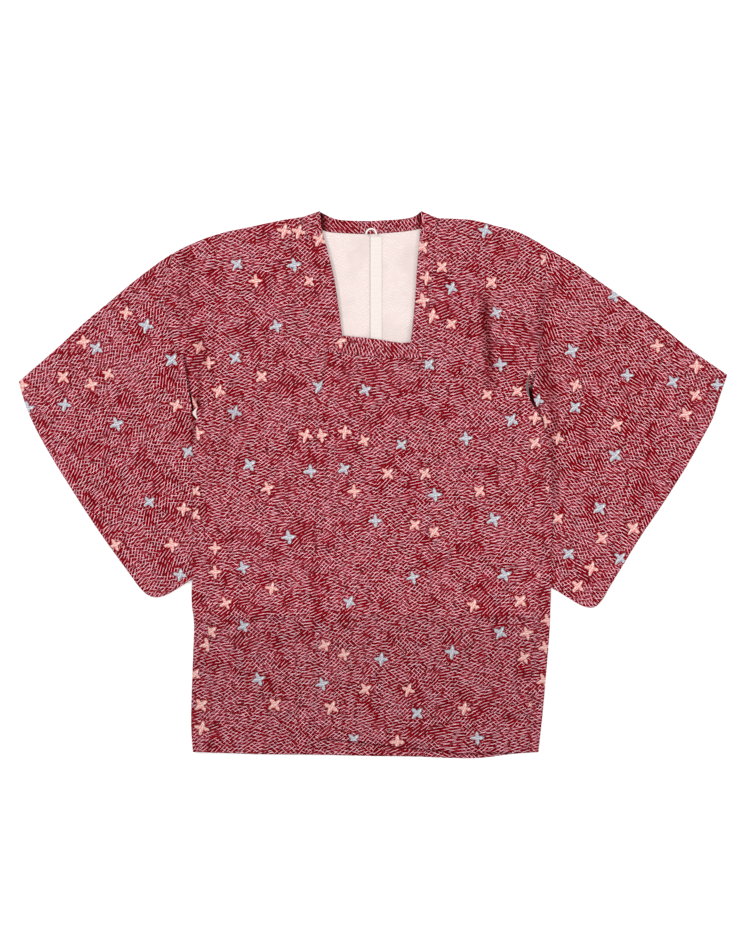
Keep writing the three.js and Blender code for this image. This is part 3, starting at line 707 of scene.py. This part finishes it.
def scattered_flowers(seed):
    """Flowers for the back: one in each square of a grid, moved about within the square."""
    rng = np.random.default_rng(seed)
    xs = np.arange(-620, 620, BACK_FLOWER_SPACING)
    ys = np.arange(BACK_SHIFT - 430, BACK_SHIFT + 480, BACK_FLOWER_SPACING)
    xs, ys = np.meshgrid(xs, ys)
    jitter = rng.uniform(0, 0.72 * BACK_FLOWER_SPACING, (2, *xs.shape))
    kind = rng.choice([GREY, SALMON], xs.shape)
    return np.stack([xs + jitter[0], ys + jitter[1], kind], -1).reshape(-1, 3)


def wall(name, right, wrong, flowers=None, grain=lambda x, y: 0 * x, mirror=1, back_rows=None, ring=False,
         doubled=lambda x, y: -1 + 0 * x, creased=shade_of_folds,
         printed_inside=lambda x, y: np.zeros(x.shape, bool), pale=False, seed=1):
    """A closed wall of cloth between two grids of points, its right side and its wrong side. In a
    ring, the last column is joined to the first.

    Each face reads the print at its own x and y, turned by the grain there, or for the rows past
    `back_rows` at the mirrored and shifted place. Each face also has the offset from its nearest
    flower, in petal lengths. `doubled` is above 0 where the cloth is double, and `creased` goes
    from 0 to 1 where a fold or an upper layer keeps the light off. The wrong side is printed, like
    the right one, where `printed_inside` says so, and both sides are unprinted if `pale`."""
    rows, cols = right.shape[:2]
    count = rows * cols
    points = np.concatenate([right.reshape(-1, 3), wrong.reshape(-1, 3)])
    ids = np.arange(count).reshape(rows, cols)
    if ring:
        ids = np.column_stack([ids, ids[:, :1]])

    def quads(a):
        return np.stack([a[:-1, :-1], a[:-1, 1:], a[1:, 1:], a[1:, :-1]], -1).reshape(-1, 4)

    def rim(a):
        return np.stack([a[:-1], a[:-1] + count, a[1:] + count, a[1:]], -1)

    outside, inside = quads(ids), quads(ids + count)[:, ::-1]
    rims = [rim(ids[0]), rim(ids[-1])[:, ::-1]]
    if not ring:
        rims += [rim(ids[:, 0])[:, ::-1], rim(ids[:, -1])]
    faces = np.concatenate([outside, inside, *rims])
    corner = points[faces]
    spread = np.cross(corner[:, 2] - corner[:, 0], corner[:, 3] - corner[:, 1])
    if (spread * corner.mean(1)).sum() < 0:
        faces = faces[:, ::-1]
        corner = points[faces]
    middle = corner.mean(1)
    if back_rows is None:
        on_back = np.zeros(len(faces), bool)
    elif ring:
        on_back = ((faces % count) % cols >= back_rows).sum(1) >= 3
    else:
        on_back = ((faces % count) // cols >= back_rows).sum(1) >= 3

    # where each corner reads the print
    flat = np.where(on_back[:, None, None], corner[..., :2] * (-1, 1) + (0, BACK_SHIFT), corner[..., :2])
    spot = flat.mean(1)
    angle = np.radians(grain(middle[:, 0], middle[:, 1]))
    angle = np.where(on_back, -angle, angle)[:, None]
    cloth = np.stack([
        mirror * (np.cos(angle) * flat[..., 0] + np.sin(angle) * flat[..., 1]),
        -np.sin(angle) * flat[..., 0] + np.cos(angle) * flat[..., 1],
    ], -1)

    # The nearest flower. Its turn and size come from its place, so that they agree across a seam.
    placed = [(x, y, kind) for kind, places in (flowers or {}).items() for x, y in places]
    all_flowers = np.concatenate([np.array(placed, float).reshape(-1, 3), scattered_flowers(seed)])
    gap = np.hypot(spot[:, :1] - all_flowers[:, 0], spot[:, 1:] - all_flowers[:, 1])
    nearest = gap.argmin(1)
    chance = np.sin(all_flowers[:, 0] * 12.9898 + all_flowers[:, 1] * 78.233) * 43758.5453 % 1
    turn = (chance * math.pi / 2)[nearest][:, None]
    kind = all_flowers[nearest, 2]
    size = np.where(kind == BUD, BUD_REACH, FLOWER_REACH) * (0.92 + 0.16 * (chance * 7 % 1))[nearest]
    offset = (flat - all_flowers[nearest, None, :2]) / size[:, None, None]
    flower = np.stack([
        np.cos(turn) * offset[..., 0] + np.sin(turn) * offset[..., 1],
        -np.sin(turn) * offset[..., 0] + np.cos(turn) * offset[..., 1],
    ], -1)

    piece = new_object(name, (points * MM).tolist(), faces.tolist(), CREPE, CREPE_WRONG)
    mesh = piece.data
    wrong_faces = np.zeros(len(faces), int)
    wrong_faces[len(outside):len(outside) + len(inside)] = 1
    wrong_faces[printed_inside(middle[:, 0], middle[:, 1])] = 0
    wrong_faces[:] = np.maximum(wrong_faces, pale)
    mesh.polygons.foreach_set("material_index", wrong_faces)
    for layer_name, values in (("cloth", cloth * MM), ("flower", flower)):
        mesh.uv_layers.new(name=layer_name).data.foreach_set("uv", values.ravel())
    x, y, _ = points.T
    # Shade painted into the colour: how much light folds, hems and upper layers keep off each point.
    fold_shade = creased(x, y, np.arange(2 * count) >= count)
    for label, domain, values in (
        ("flower_kind", "FACE", kind),
        ("doubled", "POINT", np.clip(doubled(x, y), -1, 1)),
        ("creased", "POINT", fold_shade),
    ):
        mesh.attributes.new(label, "FLOAT", domain).data.foreach_set("value", values)
    return piece


def dress(piece, node):
    """Lets a piece stand for its solid: puts it under the root body and hides the solid."""
    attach(piece, "root")
    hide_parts(node)
    return piece


def below_facing(x, y):
    """Above 0 where the hem is turned up, and -1 or less well over it."""
    return (FACING_TOP - y) / 10


BACK_HEM_FLOWER = (-235, BACK_SHIFT - 456)  # on the back, and shows under the wearer's left front
BODY_FLOWERS = {
    "right": {
        GREY: [
            (-231, 374), (-134, 373), (-164, 269), (-234, 215), (-235, 123), (-210, 34), (-143, -89),
            (-221, -141), (-220, -240), (-194, -330), (-91, 167), (-106, 23), BACK_HEM_FLOWER,
        ],
        SALMON: [
            (-151, 431), (-126, 430), (-199, 346), (-108, 346), (-295, 234), (-279, 207), (-189, 184),
            (-262, 159), (-305, 142), (-298, 88), (-179, -6), (-302, -11), (-303, -51), (-268, -107),
            (-268, -148), (-172, -176), (-250, -201), (-276, -249), (-167, -373), (-114, 84),
        ],
    },
    "left": {
        GREY: [
            (133, 334), (94, 204), (158, 79), (105, -17), (205, -59), (134, -284), (177, -430),
            (190, 431), (209, 292), (216, 204), (235, 110), (223, -153), (216, -251), BACK_HEM_FLOWER,
        ],
        SALMON: [
            (117, 370), (100, 287), (133, 273), (181, -11), (104, -80), (155, -380), (293, 384),
            (201, 344), (194, 153), (245, 159), (275, 113), (275, 71), (250, -197), (170, -205), (88, 19),
            (261, -252), (256, -293),
        ],
        BUD: [(265, 190), (282, -153), (267, -374)],
    },
}
# Where the upper front's hem runs over what lies lower.
UPPER_BAND_HEM = [[-100, -431], [-42, -434], [20, -442], [102, -449]]
UPPER_HEM = [*UPPER_BAND_HEM, *HEM["front"]["left"][1:]]
HEM_SHADOW = 5  # its reach
HEM_SHADE = 0.5  # its depth
# The open edge of the right front rolls inwards at the underarm: lines of shade, half width, depth.
ROLLED_EDGE = [(-295, 180, -296, 141, 1.6, 0.75), (-302, 147, -295, 136, 3.0, 0.9)]
CHEST_FOLD = (189, 345, 199, 170)  # the deep fold on the wearer's left, whose outer side is turned
CHEST_FOLD_TURN = -24.0
COAT_LENGTH = 900
FRONT_WIDTH = 230


def body_grain(x, y):
    """The cloth hangs straight, but beyond the chest fold it is drawn round towards the sleeve."""
    x0, y0, x1, y1 = CHEST_FOLD
    past = x > x0 + (x1 - x0) * (y0 - y) / (y0 - y1)
    return np.where(past & (y > y1 - 20) & (y < y0), CHEST_FOLD_TURN, 0.0)


def under_the_hem(x, y, _inside=None):
    """Shade under the upper front's hem, down to 0 within the reach of its shadow."""
    hem_x, hem_y = np.array(UPPER_HEM, float).T
    return HEM_SHADE * np.clip(1 + (y - np.interp(x, hem_x, hem_y)) / HEM_SHADOW, 0, 1) * (y < 0)


def body(side, front, columns, seed):
    """Front panel, half a circle round the shoulder fold, back panel, each at its own height."""
    inner_gap, outer_gap = OUTWARD[side] * SEAM_GAP / 2, -OUTWARD[side] * SEAM_GAP / 2
    us = near_edges(columns, FRONT_WIDTH)
    share = BODY_FOLD_SHARE[side]
    edge = trimmed(part(top_fold(side), 0, share), inner_gap, outer_gap)
    fold = Fold(edge, part(into_coat(side), 0, share), ground, raised(front, CLOTH))
    centre = line([[CENTRE_BACK_X, BACK_HEM_Y], [CENTRE_BACK_X, BACK_NECK_Y - SEAM_GAP]])
    neck = line([[x, y - SEAM_GAP] for x, y in NECK[side]["back_seam"]])

    def shape(inner, open_edge, hem):
        open_share = (SLEEVE_FOOT - UNDERARM) / (1 - UNDERARM)
        armhole = joined(line(ARMHOLE[side][open_edge]), armhole_seam(side), open_share)
        outer = trimmed(joined(line(SIDE_SEAM[side]), armhole, UNDERARM), outer_gap, outer_gap)
        bottom = trimmed(line(hem), inner_gap, outer_gap)
        return panel(trimmed(inner, inner_gap, inner_gap), outer, bottom, fold.start)

    band_and_collar = joined(line(BAND_SEAM[side]), line(NECK[side]["seam"]), SLEEVE_FOOT)
    front_rows = near_edges(150, COAT_LENGTH)
    back_rows = near_edges(70, COAT_LENGTH, np.arange(1, 24, 1.5))[::-1]  # close where the hem's shadow is
    front_flat = shape(band_and_collar, "front_edge", HEM["front"][side])(us, front_rows)
    back_flat = shape(joined(centre, neck, BACK_NECK), "back_edge", HEM["back"][side])(us, back_rows)
    sides = folded_over(front_flat, back_flat, fold, us, front, "iob", "it")

    def shade(x, y, inside):
        if side == "left":  # the shadow of the upper hem falls on the back's wrong side
            own = np.where(inside, under_the_hem(x, y), 0)
        else:
            own = np.where(inside, 0, shaded_lines(x, y, ROLLED_EDGE))
        return np.maximum(shade_of_folds(x, y, inside), own)

    return wall(
        f"body_{side}_cloth", *sides, BODY_FLOWERS[side], grain=body_grain,
        back_rows=len(front_rows) + Fold.MIDDLE, doubled=below_facing, creased=shade,
        printed_inside=lambda x, y: y < FACING_TOP, seed=seed,
    )


body_right = dress(body("right", under_front, 64, 11), "body_right")
body_left = dress(body("left", upper_front, 84, 12), "body_left")


# ---------------------------------------------------------------- sleeves
# Each sleeve is one width of cloth folded at the top and sewn along the bottom, round the corner
# and up the cuff as far as the hand's opening. It lies slanting, so its weave slants too, and its
# inner end runs under the body.
SLEEVE = {
    "right": {
        "front_edge": [[-252, -128], [-280, -4], [-299.5, 100], [-303.8, 112], [-312.6, 158], [-320, 205]],
        "back_edge": [[-252, -128], [-280, -4], [-296.5, 100], [-298.5, 112], [-302, 158], [-320, 205]],
        "bottom": [
            [-252, -128], [-309, -162], [-345, -184], [-365, -191], [-381, -188], [-396, -175],
            [-411, -155], [-469, -74], [-522, 8],
        ],
        "cuff": [[-522, 8], [-547, 49], [-570, 90], [-588, 130], [-602, 175]],
        "grain": 34.0,
        "slit": [(-308, 150, -303, 100, 9, 0.9)],  # shade inside the open edge, as a line
        "flowers": {
            GREY: [
                (-385, 270), (-470, 232), (-342, 212), (-524, 136), (-587, 130), (-435, 103), (-314, 56),
                (-380, -29), (-328, -153),
            ],
            SALMON: [
                (-419, 292), (-491, 243), (-526, 183), (-450, 188), (-478, 170), (-596, 169), (-334, 135),
                (-322, -41), (-438, -102), (-342, -102),
            ],
        },
    },
    "left": {
        "front_edge": [[241, -138], [273, -18], [290, 88], [286.5, 116], [274, 142], [271, 166], [279, 198]],
        "back_edge": [[241, -138], [273, -18], [287, 88], [280, 112], [262, 142], [260, 168], [279, 198]],
        "bottom": [
            [241, -138], [299, -172], [338, -196], [359, -207], [376, -208], [389, -196],
            [402, -174], [419, -146], [454, -89], [494, -30], [530, 27],
        ],
        "cuff": [[530, 27], [552, 66], [577, 113], [589, 150], [602, 187]],
        "grain": -20.0,
        "slit": [(268, 160, 272, 142, 11, 0.97), (272, 142, 290, 90, 6, 0.5)],
        "flowers": {
            GREY: [
                (280, 143), (410, 321), (337, 227), (432, 186), (509, 175), (585, 170), (343, 132),
                (411, 50), (385, -40), (332, -117), (420, -125),
            ],
            SALMON: [
                (292, 107), (483, 236), (549, 201), (344, 169), (548, 152), (531, 120), (414, 102),
                (314, 79), (314, -57), (442, -74), (389, -91), (371, -142), (348, -172),
            ],
        },
    },
}
SLEEVE_SEAM_SHARE = 0.64  # of a sleeve's height, where its open inner edge ends
SLEEVE_WIDTH = 430
SLEEVE_LENGTH = 330


def sleeve_front(side):
    """Wrong side of the upper layer: loft over the lower one, but pressed flat under the body."""
    top_x, top_y = TUCK[side]["top"]

    def height(x, y):
        tucked = 1 - smooth_step(OUTWARD[side] * (x - top_x), CLEAR, CLEAR + FADE)
        pressed = tucked * (1 - smooth_step(y, top_y, top_y + CLEAR + FADE))
        return CLOTH + loft(x, y) * (1 - pressed) + TUCKED_GAP * pressed
    return height


def sleeve(side, seed):
    """Rings round the tube: upper panel, half a circle, lower panel, half a circle."""
    cut = SLEEVE[side]
    gap = OUTWARD[side] * SEAM_GAP / 2
    us, rows = near_edges(76, SLEEVE_LENGTH), near_edges(70, SLEEVE_WIDTH)
    share = BODY_FOLD_SHARE[side]
    wrong_top = sleeve_front(side)
    right_top = raised(wrong_top, CLOTH)
    edge = trimmed(part(top_fold(side), share, 1), gap, 0)
    upper = Fold(edge, part(into_coat(side), share, 1), floor_level, right_top)
    bottom = line(cut["bottom"])
    heart = (OUTWARD[side] * 410, 90)
    lower = Fold(trimmed(bottom, gap, 0), square_to(bottom, heart), floor_level, right_top)

    def shape(open_edge):
        inner = joined(line(cut[open_edge]), armhole_seam(side), SLEEVE_SEAM_SHARE)
        return panel(trimmed(inner, gap, gap), line(cut["cuff"]), lower.start, upper.start)

    up, down = shape("front_edge")(us, rows), shape("back_edge")(us, rows[::-1])
    # lines along the sleeve, in order round the tube
    rings = [
        np.concatenate([top, upper.rows(us, shell), low, lower.rows(us, shell)[::-1]]).transpose(1, 0, 2)
        for top, low, shell in (
            (dipped(lie(up, right_top), "iob"), lie(down, floor_level), 0),
            (lie(up, wrong_top), lie(down, raised(floor_level, CLOTH)), CLOTH),
        )
    ]

    def shade(x, y, inside):
        return np.where(inside, shaded_lines(x, y, cut["slit"]), shade_of_folds(x, y, inside))

    return wall(
        f"sleeve_{side}_cloth", *rings, cut["flowers"], grain=lambda x, y: cut["grain"] + 0 * x,
        mirror=-OUTWARD[side], back_rows=len(rows) + Fold.MIDDLE, ring=True, creased=shade,
        printed_inside=lambda x, y: (OUTWARD[side] * x < 325) & (y > 60), seed=seed,
    )


sleeve_right = dress(sleeve("right", 21), "sleeve_right")
sleeve_left = dress(sleeve("left", 22), "sleeve_left")


# ---------------------------------------------------------------- turned edges at the underarms
# At both underarms a little of the open edge's allowance has turned out of the slit, so that its
# pale wrong side shows: a bright crescent on the wearer's right, a shaded sliver on the left.
TURNED_EDGE = {
    "right": {
        "outer": [[-297, 133], [-306, 122], [-298, 111]],
        "inner": [[-297, 133], [-300, 122], [-297, 111]],
        "shade": 0.0, "flat": (0.010, 0.024), "area": 0.000085,
    },
    "left": {
        "outer": [[266, 190], [259.5, 167], [265, 148]],
        "inner": [[266, 190], [263.5, 167], [266, 148]],
        "shade": 0.8, "flat": (0.010, 0.043), "area": 0.00013,
    },
}
TURNED_EDGE_CLOTH = 0.5
TURNED_EDGE_RISE = 0.9
TURNED_EDGE_LIFT = 0.2  # over the front that it lies on


def turned_edge(side, front):
    """A crescent between two curves that meet at both ends, bowed up along its middle."""
    cut = TURNED_EDGE[side]
    share, across = np.linspace(0.02, 0.98, 25), np.linspace(0, 1, 7)[:, None, None]
    flat = line(cut["inner"])(share) * (1 - across) + line(cut["outer"])(share) * across
    bow = TURNED_EDGE_RISE * np.sin(np.pi * across[..., 0]) * np.sin(np.pi * share)
    low = lie(flat, raised(front, CLOTH + TURNED_EDGE_LIFT))
    low[..., 2] += bow
    return wall(
        f"turned_edge_{side}", low + (0, 0, TURNED_EDGE_CLOTH), low,
        creased=lambda x, y, inside: np.full(x.shape, cut["shade"]), pale=True,
    )


for side, front in (("right", under_front), ("left", upper_front)):
    piece = turned_edge(side, front)
    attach(piece, "root")


# ---------------------------------------------------------------- side gussets
# A long wedge of the same crepe, let in between front and back from the hem to the underarm, and
# folded lengthwise, so that only its front half shows.
GUSSET_FOLD = {
    "right": [
        [-306, -454], [-309, -400], [-306, -298], [-304, -237], [-308, -196], [-306, -120], [-306, 95],
    ],
    "left": [[281, -454], [289, -380], [296, -298], [300, -247], [302, -179], [304, -60], [304, 79]],
}
GUSSET_LENGTH = 540
GUSSET_WIDTH = 26
GUSSET_FLOWERS = {
    "right": {
        SALMON: [(-302, -11), (-303, -51), (-282, -272), (-303, -322), (-292, -374), (-291, -413)],
    },
    "left": {
        SALMON: [(296, -230), (292, -276), (290, -332)],
        BUD: [(295, -6)],
    },
}


def gusset(side, front, seed):
    """Straight lines from the side seam to the fold, half a circle round it, and back again."""
    outward = OUTWARD[side]
    rows = near_edges(100, GUSSET_LENGTH)
    shares = near_edges(6, GUSSET_WIDTH, (0.6, 1.4, 2.4))
    seam = trimmed(line(SIDE_SEAM[side]), outward * SEAM_GAP / 2, outward * SEAM_GAP / 2)

    def inward(us):
        return np.tile([-outward, 0.0], (len(us), 1))

    fold = Fold(line(GUSSET_FOLD[side]), inward, ground, raised(front, CLOTH))
    a, b = seam(rows), fold.start(rows)
    flat = a[None] + (b - a)[None] * shares[:, None, None]
    return wall(
        f"gusset_{side}_cloth", *folded_over(flat, flat[::-1], fold, rows, front, "b"), GUSSET_FLOWERS[side],
        back_rows=len(shares) + Fold.MIDDLE, doubled=below_facing, seed=seed,
    )


gusset_right = dress(gusset("right", under_front, 31), "gusset_right")
gusset_left = dress(gusset("left", upper_front, 32), "gusset_left")


# ---------------------------------------------------------------- front bands
# A straight band of crepe is sewn to each front edge. The wearer's left one lies on top, buttoned
# across, and the right one is under it and shows only along the hem.
BAND_EDGE = {
    "upper": [[-100, -431], [-97, -181], [-95, 74], [-90, 144], [-82, 196], [-78, 226]],
    "under": [[90, -460], [88, -181], [84, 60], [82, 236]],
}
FRONT_COLLAR = {
    "seam": [[-78, 226], [-31, 221], [20, 216], [88, 216]],
    "free": [[-51, 253], [0, 248], [45, 241], [64, 242]],
}
BAND_FLOWERS = {
    GREY: [
        (-13, 161), (48, 68), (-49, 27), (4, -61), (68, -157), (-40, -199), (14, -296), (-86, -338),
        (75, -388), (-33, -432),
    ],
    SALMON: [
        (-88, 84), (-48, 90), (-15, 75), (25, 19), (88, 19), (-32, -11), (71, -68), (-82, -272),
        (-49, -288), (-13, -347), (60, -348), (-71, -378), (41, -437),
    ],
}


def layer(name, flat, under, thickness, edges, **cloth):
    """One layer that lies on others: its lower face at the height `under`."""
    return wall(name, dipped(lie(flat, raised(under, thickness)), edges), lie(flat, under), **cloth)


upper_shape = panel(
    line(BAND_EDGE["upper"]),
    trimmed(line(BAND_SEAM["left"]), -SEAM_GAP / 2, -SEAM_GAP / 2),
    trimmed(line(UPPER_BAND_HEM), 0, -SEAM_GAP / 2),
    line([[x, y - SEAM_GAP] for x, y in FRONT_COLLAR["seam"]]),
)
band_upper = dress(layer(
    "front_band_upper_cloth", upper_shape(near_edges(40, 190), near_edges(130, 670)), upper_front, CLOTH,
    "iobt", flowers=BAND_FLOWERS, doubled=below_facing, seed=41,
), "front_band_upper")

under_shape = panel(
    trimmed(line(BAND_SEAM["right"]), SEAM_GAP / 2, SEAM_GAP / 2),
    line(BAND_EDGE["under"]),
    trimmed(line([[-92, -458], [90, -460]]), SEAM_GAP / 2, 0),
    line([[-79, 217], [0, 232], [82, 236]]),
)
band_under = dress(layer(
    "front_band_under_cloth", under_shape(near_edges(24, 175), near_edges(80, 690, np.arange(1, 44, 1.5))),
    under_front, CLOTH, "iob", doubled=below_facing, creased=under_the_hem, seed=42,
), "front_band_under")


# ---------------------------------------------------------------- collar
# A strip folded double, sewn round the neck: up one front, over the shoulder, round the back of
# the neck and down the other front. Along the top of the upper band a second strip closes the
# square, joined to it by slanting seams at the corners.
BACK_COLLAR_RISE = 1.6
COLLAR_SHARES = near_edges(7, 27, (0.6, 1.3, 2.2))  # across the strip, 27 mm wide
COLLAR_FLOWERS = {
    SALMON: [(-91, 416), (83, 404), (91, 351), (85, 313)],
}
# Deep shade inside the turns at the shoulders, as lines.
COLLAR_TURNS = [(-88, 462, -86, 434, 9, 0.85), (80, 462, 81, 434, 4.5, 0.9)]
BACK_OF_NECK = 425


def collar_grain(x, y):
    """Strokes lie across the strip, whichever way it runs."""
    return np.where((y > BACK_OF_NECK) & (np.abs(x + 5) < 92), 90.0, 0.0)


def collar_shade(x, y, inside):
    """The collar's inside gets painted shade where it turns over the shoulders."""
    return np.where(inside, shaded_lines(x, y, COLLAR_TURNS), 0)


def risen(points, us):
    """The back of the collar stands up towards its free edge, most of all in the middle."""
    rise = 1 - smooth_step(np.abs(points[..., 0] - CENTRE_BACK_X), 40, 105)
    lifted = points.copy()
    lifted[..., 2] += BACK_COLLAR_RISE * us[None] * rise
    return lifted


def collar_half(side, front):
    """Rows of the right and wrong side, from the front's corner to the middle of the back: a strip
    up the front, half a circle over the shoulder, and a strip along the back."""
    cut = NECK[side]
    us = COLLAR_SHARES
    edge = line([cut["seam"][-1], cut["free"][-1]])
    direction = square_to(edge, (0, 0))(np.array([0.5]))
    turn = Fold(edge, lambda u: np.repeat(direction, len(u), 0), floor_level, raised(front, COLLAR_CLOTH))

    def strip(seam, free):
        return panel(line(seam), line(free), line([seam[0], free[0]]), turn.start)

    front_flat = strip(cut["seam"], cut["free"])(us, near_edges(60, 240))
    back_flat = strip(cut["back_seam"], cut["back_free"])(us, near_edges(30, 125)[::-1])
    back = risen(lie(back_flat, floor_level), us)
    right = [dipped(lie(front_flat, raised(front, COLLAR_CLOTH)), "io"), turn.rows(us, 0), back]
    inner_back = dipped(back + (0, 0, COLLAR_CLOTH), "io")
    wrong = [lie(front_flat, front), turn.rows(us, COLLAR_CLOTH), inner_back]
    return np.concatenate(right), np.concatenate(wrong)


halves = zip(collar_half("right", under_front), collar_half("left", upper_front))
collar = dress(wall(
    "collar_cloth", *(np.concatenate([a, b[::-1][1:]]) for a, b in halves), COLLAR_FLOWERS,
    grain=collar_grain, creased=collar_shade, printed_inside=lambda x, y: y > 0, seed=51,
), "collar")

front_strip = panel(
    line([FRONT_COLLAR["seam"][0], FRONT_COLLAR["free"][0]]),
    trimmed(line([FRONT_COLLAR["seam"][-1], FRONT_COLLAR["free"][-1]]), -SEAM_GAP, -SEAM_GAP),
    trimmed(line(FRONT_COLLAR["seam"]), 0, -SEAM_GAP),
    trimmed(line(FRONT_COLLAR["free"]), 0, -SEAM_GAP),
)
collar_front = dress(layer(
    "collar_front_cloth", front_strip(near_edges(34, 140), COLLAR_SHARES), upper_front, COLLAR_CLOTH, "iobt",
    flowers={SALMON: [(-57, 244)]}, grain=lambda x, y: 90.0 + 0 * x,
    printed_inside=lambda x, y: y > 0, seed=52,
), "collar_front")


# ---------------------------------------------------------------- centre back tape and hanging loop
# Inside, a cream silk tape binds the centre back seam from the collar down, and at its top a short
# white cord is caught into the seam as a loop to hang the coat by.
TAPE = {"left": -4, "right": 15, "top": 423, "bottom": -452, "cloth": 0.5, "lift": 0.3}
LOOP = {"x": -3, "y": 425.6, "half_width": 8.6, "height": 9, "cord": 1.5}
TAPE_COLOUR = (0.705, 0.65, 0.61)
TAPE_SHADE = (0.62, 0.55, 0.51)
LOOP_COLOUR = (0.95, 0.93, 0.90)


def woven_material(name, colour, shade, pitch, roughness):
    """A plain ribbed weave: fine bars across the tape or round the cord, from a sine of the place."""
    material, shader = new_material(name, roughness)
    n = Nodes(material.node_tree)
    place = n.add("ShaderNodeTexCoord").outputs["Object"]
    part_y = n.add("ShaderNodeSeparateXYZ", {"Vector": place}).outputs[1]
    bars = n.math("SINE", n.math("MULTIPLY", part_y, 2 * math.pi / pitch))
    grain = n.noise(place, 700.0).outputs["Fac"]
    height = n.math("ADD", n.math("MULTIPLY", bars, 0.5), grain)
    n.feed(shader.inputs["Base Color"], n.mix(n.ramp(height, 0.0, 1.1), shade, colour))
    n.feed(shader.inputs["Normal"], n.bump(height, 0.3, 0.0004))
    return material


def plain_wall(name, right, wrong, material):
    """A closed wall as above, of an unprinted stuff."""
    piece = wall(name, right, wrong)
    piece.data.materials.clear()
    piece.data.materials.append(material)
    return piece


tape_us, tape_vs = near_edges(4, 21, (0.6, 1.4)), np.linspace(0, 1, 160)
tape_x = TAPE["left"] + (TAPE["right"] - TAPE["left"]) * tape_us
tape_y = TAPE["bottom"] + (TAPE["top"] - TAPE["bottom"]) * tape_vs
tape_flat = np.stack(np.meshgrid(tape_x, tape_y), -1)
tape_low = raised(ground, CLOTH + TAPE["lift"])
tape_top = dipped(lie(tape_flat, raised(tape_low, TAPE["cloth"])), "it", 0.3)
tape = plain_wall(
    "back_seam_tape_cloth", tape_top, lie(tape_flat, tape_low),
    woven_material("tape_weave", TAPE_COLOUR, TAPE_SHADE, 0.0022, 0.7),
)
dress(tape, "back_seam_tape")


def skin(name, rings, material):
    """A closed skin over rings of points, from each ring to the next, with a cap at both ends."""
    count, sides = rings.shape[:2]
    ids = np.arange(count * sides).reshape(count, sides)
    ids = np.column_stack([ids, ids[:, :1]])
    faces = np.stack([ids[:-1, :-1], ids[1:, :-1], ids[1:, 1:], ids[:-1, 1:]], -1).reshape(-1, 4).tolist()
    faces += [ids[0, :-1].tolist(), ids[-1, :-1][::-1].tolist()]
    return new_object(name, (rings.reshape(-1, 3) * MM).tolist(), faces, material)


def cord(name, path, radius, sides, material):
    """A round cord: a circle carried along the path, turned to stay square to it."""
    along = np.gradient(path, axis=0)
    along /= np.linalg.norm(along, axis=1)[:, None]
    across = np.cross(along, (0, 0, 1.0))
    across /= np.linalg.norm(across, axis=1)[:, None]
    up = np.cross(across, along)
    angle = np.linspace(0, 2 * math.pi, sides, endpoint=False)[None, :, None]
    circle = np.cos(angle) * across[:, None] + np.sin(angle) * up[:, None]
    return skin(name, path[:, None] + radius * circle, material)


swing = np.linspace(math.pi, 0, 40)
loop_z = COLLAR_CLOTH + BACK_COLLAR_RISE * np.sin(swing) / 2 + LAYER_GAP + LOOP["cord"]
loop_path = np.stack([
    LOOP["x"] + LOOP["half_width"] * np.cos(swing), LOOP["y"] + LOOP["height"] * np.sin(swing), loop_z,
], -1)
loop = cord(
    "neck_loop_cord", loop_path, LOOP["cord"], 12,
    woven_material("loop_cord", LOOP_COLOUR, TAPE_SHADE, 0.0011, 0.6),
)
dress(loop, "neck_loop")


# ---------------------------------------------------------------- buttons
# Two small buttons covered in the coat's own crepe, on the two upper corners of the upper band.
# Each is a low dome, and the cloth is drawn smooth over it.
BUTTON = {"radius": 9.5, "height": 3.6}
BUTTON_RIM = 0.28  # height of the widest part, over the height of the dome
BUTTON_LIFT = 0.3  # over the highest cloth under its rim
BUTTON_PLACES = {"right": (-54, 210), "left": (73, 201)}
NO_FLOWER = 9.0  # an offset far outside every petal


def button(side, seed):
    """A dome turned about its axis: a quarter of an ellipse from the middle out to the rim, which
    stands on a short upright edge, and a flat underside. It reads the print at its own place."""
    x, y = BUTTON_PLACES[side]
    radius, height = BUTTON["radius"], BUTTON["height"]
    swing = np.radians(np.linspace(0, 360, 49))[:-1]
    circle = np.stack([np.cos(swing), np.sin(swing)], -1)
    rim = upper_front(*((x, y) + radius * circle).T).max()
    turn = np.radians(np.linspace(2, 90, 14))[:, None]
    top_r, top_z = radius * np.sin(turn), height * (BUTTON_RIM + (1 - BUTTON_RIM) * np.cos(turn))
    under_r = np.linspace(radius * 0.96, 0.3, 8)[:, None]
    flat = (x, y) + np.concatenate([top_r, under_r])[..., None] * circle
    profile_z = rim + CLOTH + BUTTON_LIFT + np.concatenate([top_z, 0 * under_r])
    rings = np.concatenate([flat, (profile_z + 0 * swing)[..., None]], -1)
    piece = skin(f"button_{side}_covered", rings, CREPE)
    mesh = piece.data
    index = np.zeros(len(mesh.loops), int)
    mesh.loops.foreach_get("vertex_index", index)
    spots = rings.reshape(-1, 3)[index, :2] * MM
    mesh.uv_layers.new(name="cloth").data.foreach_set("uv", (spots + 0.01 * seed).ravel())
    mesh.uv_layers.new(name="flower").data.foreach_set("uv", np.full(spots.size, NO_FLOWER))
    for label, domain, value in (("flower_kind", "FACE", GREY), ("doubled", "POINT", -1)):
        data = mesh.attributes.new(label, "FLOAT", domain).data
        data.foreach_set("value", np.full(len(data), value, float))
    return piece


for number, side in enumerate(BUTTON_PLACES):
    dress(button(side, number), f"button_{side}")
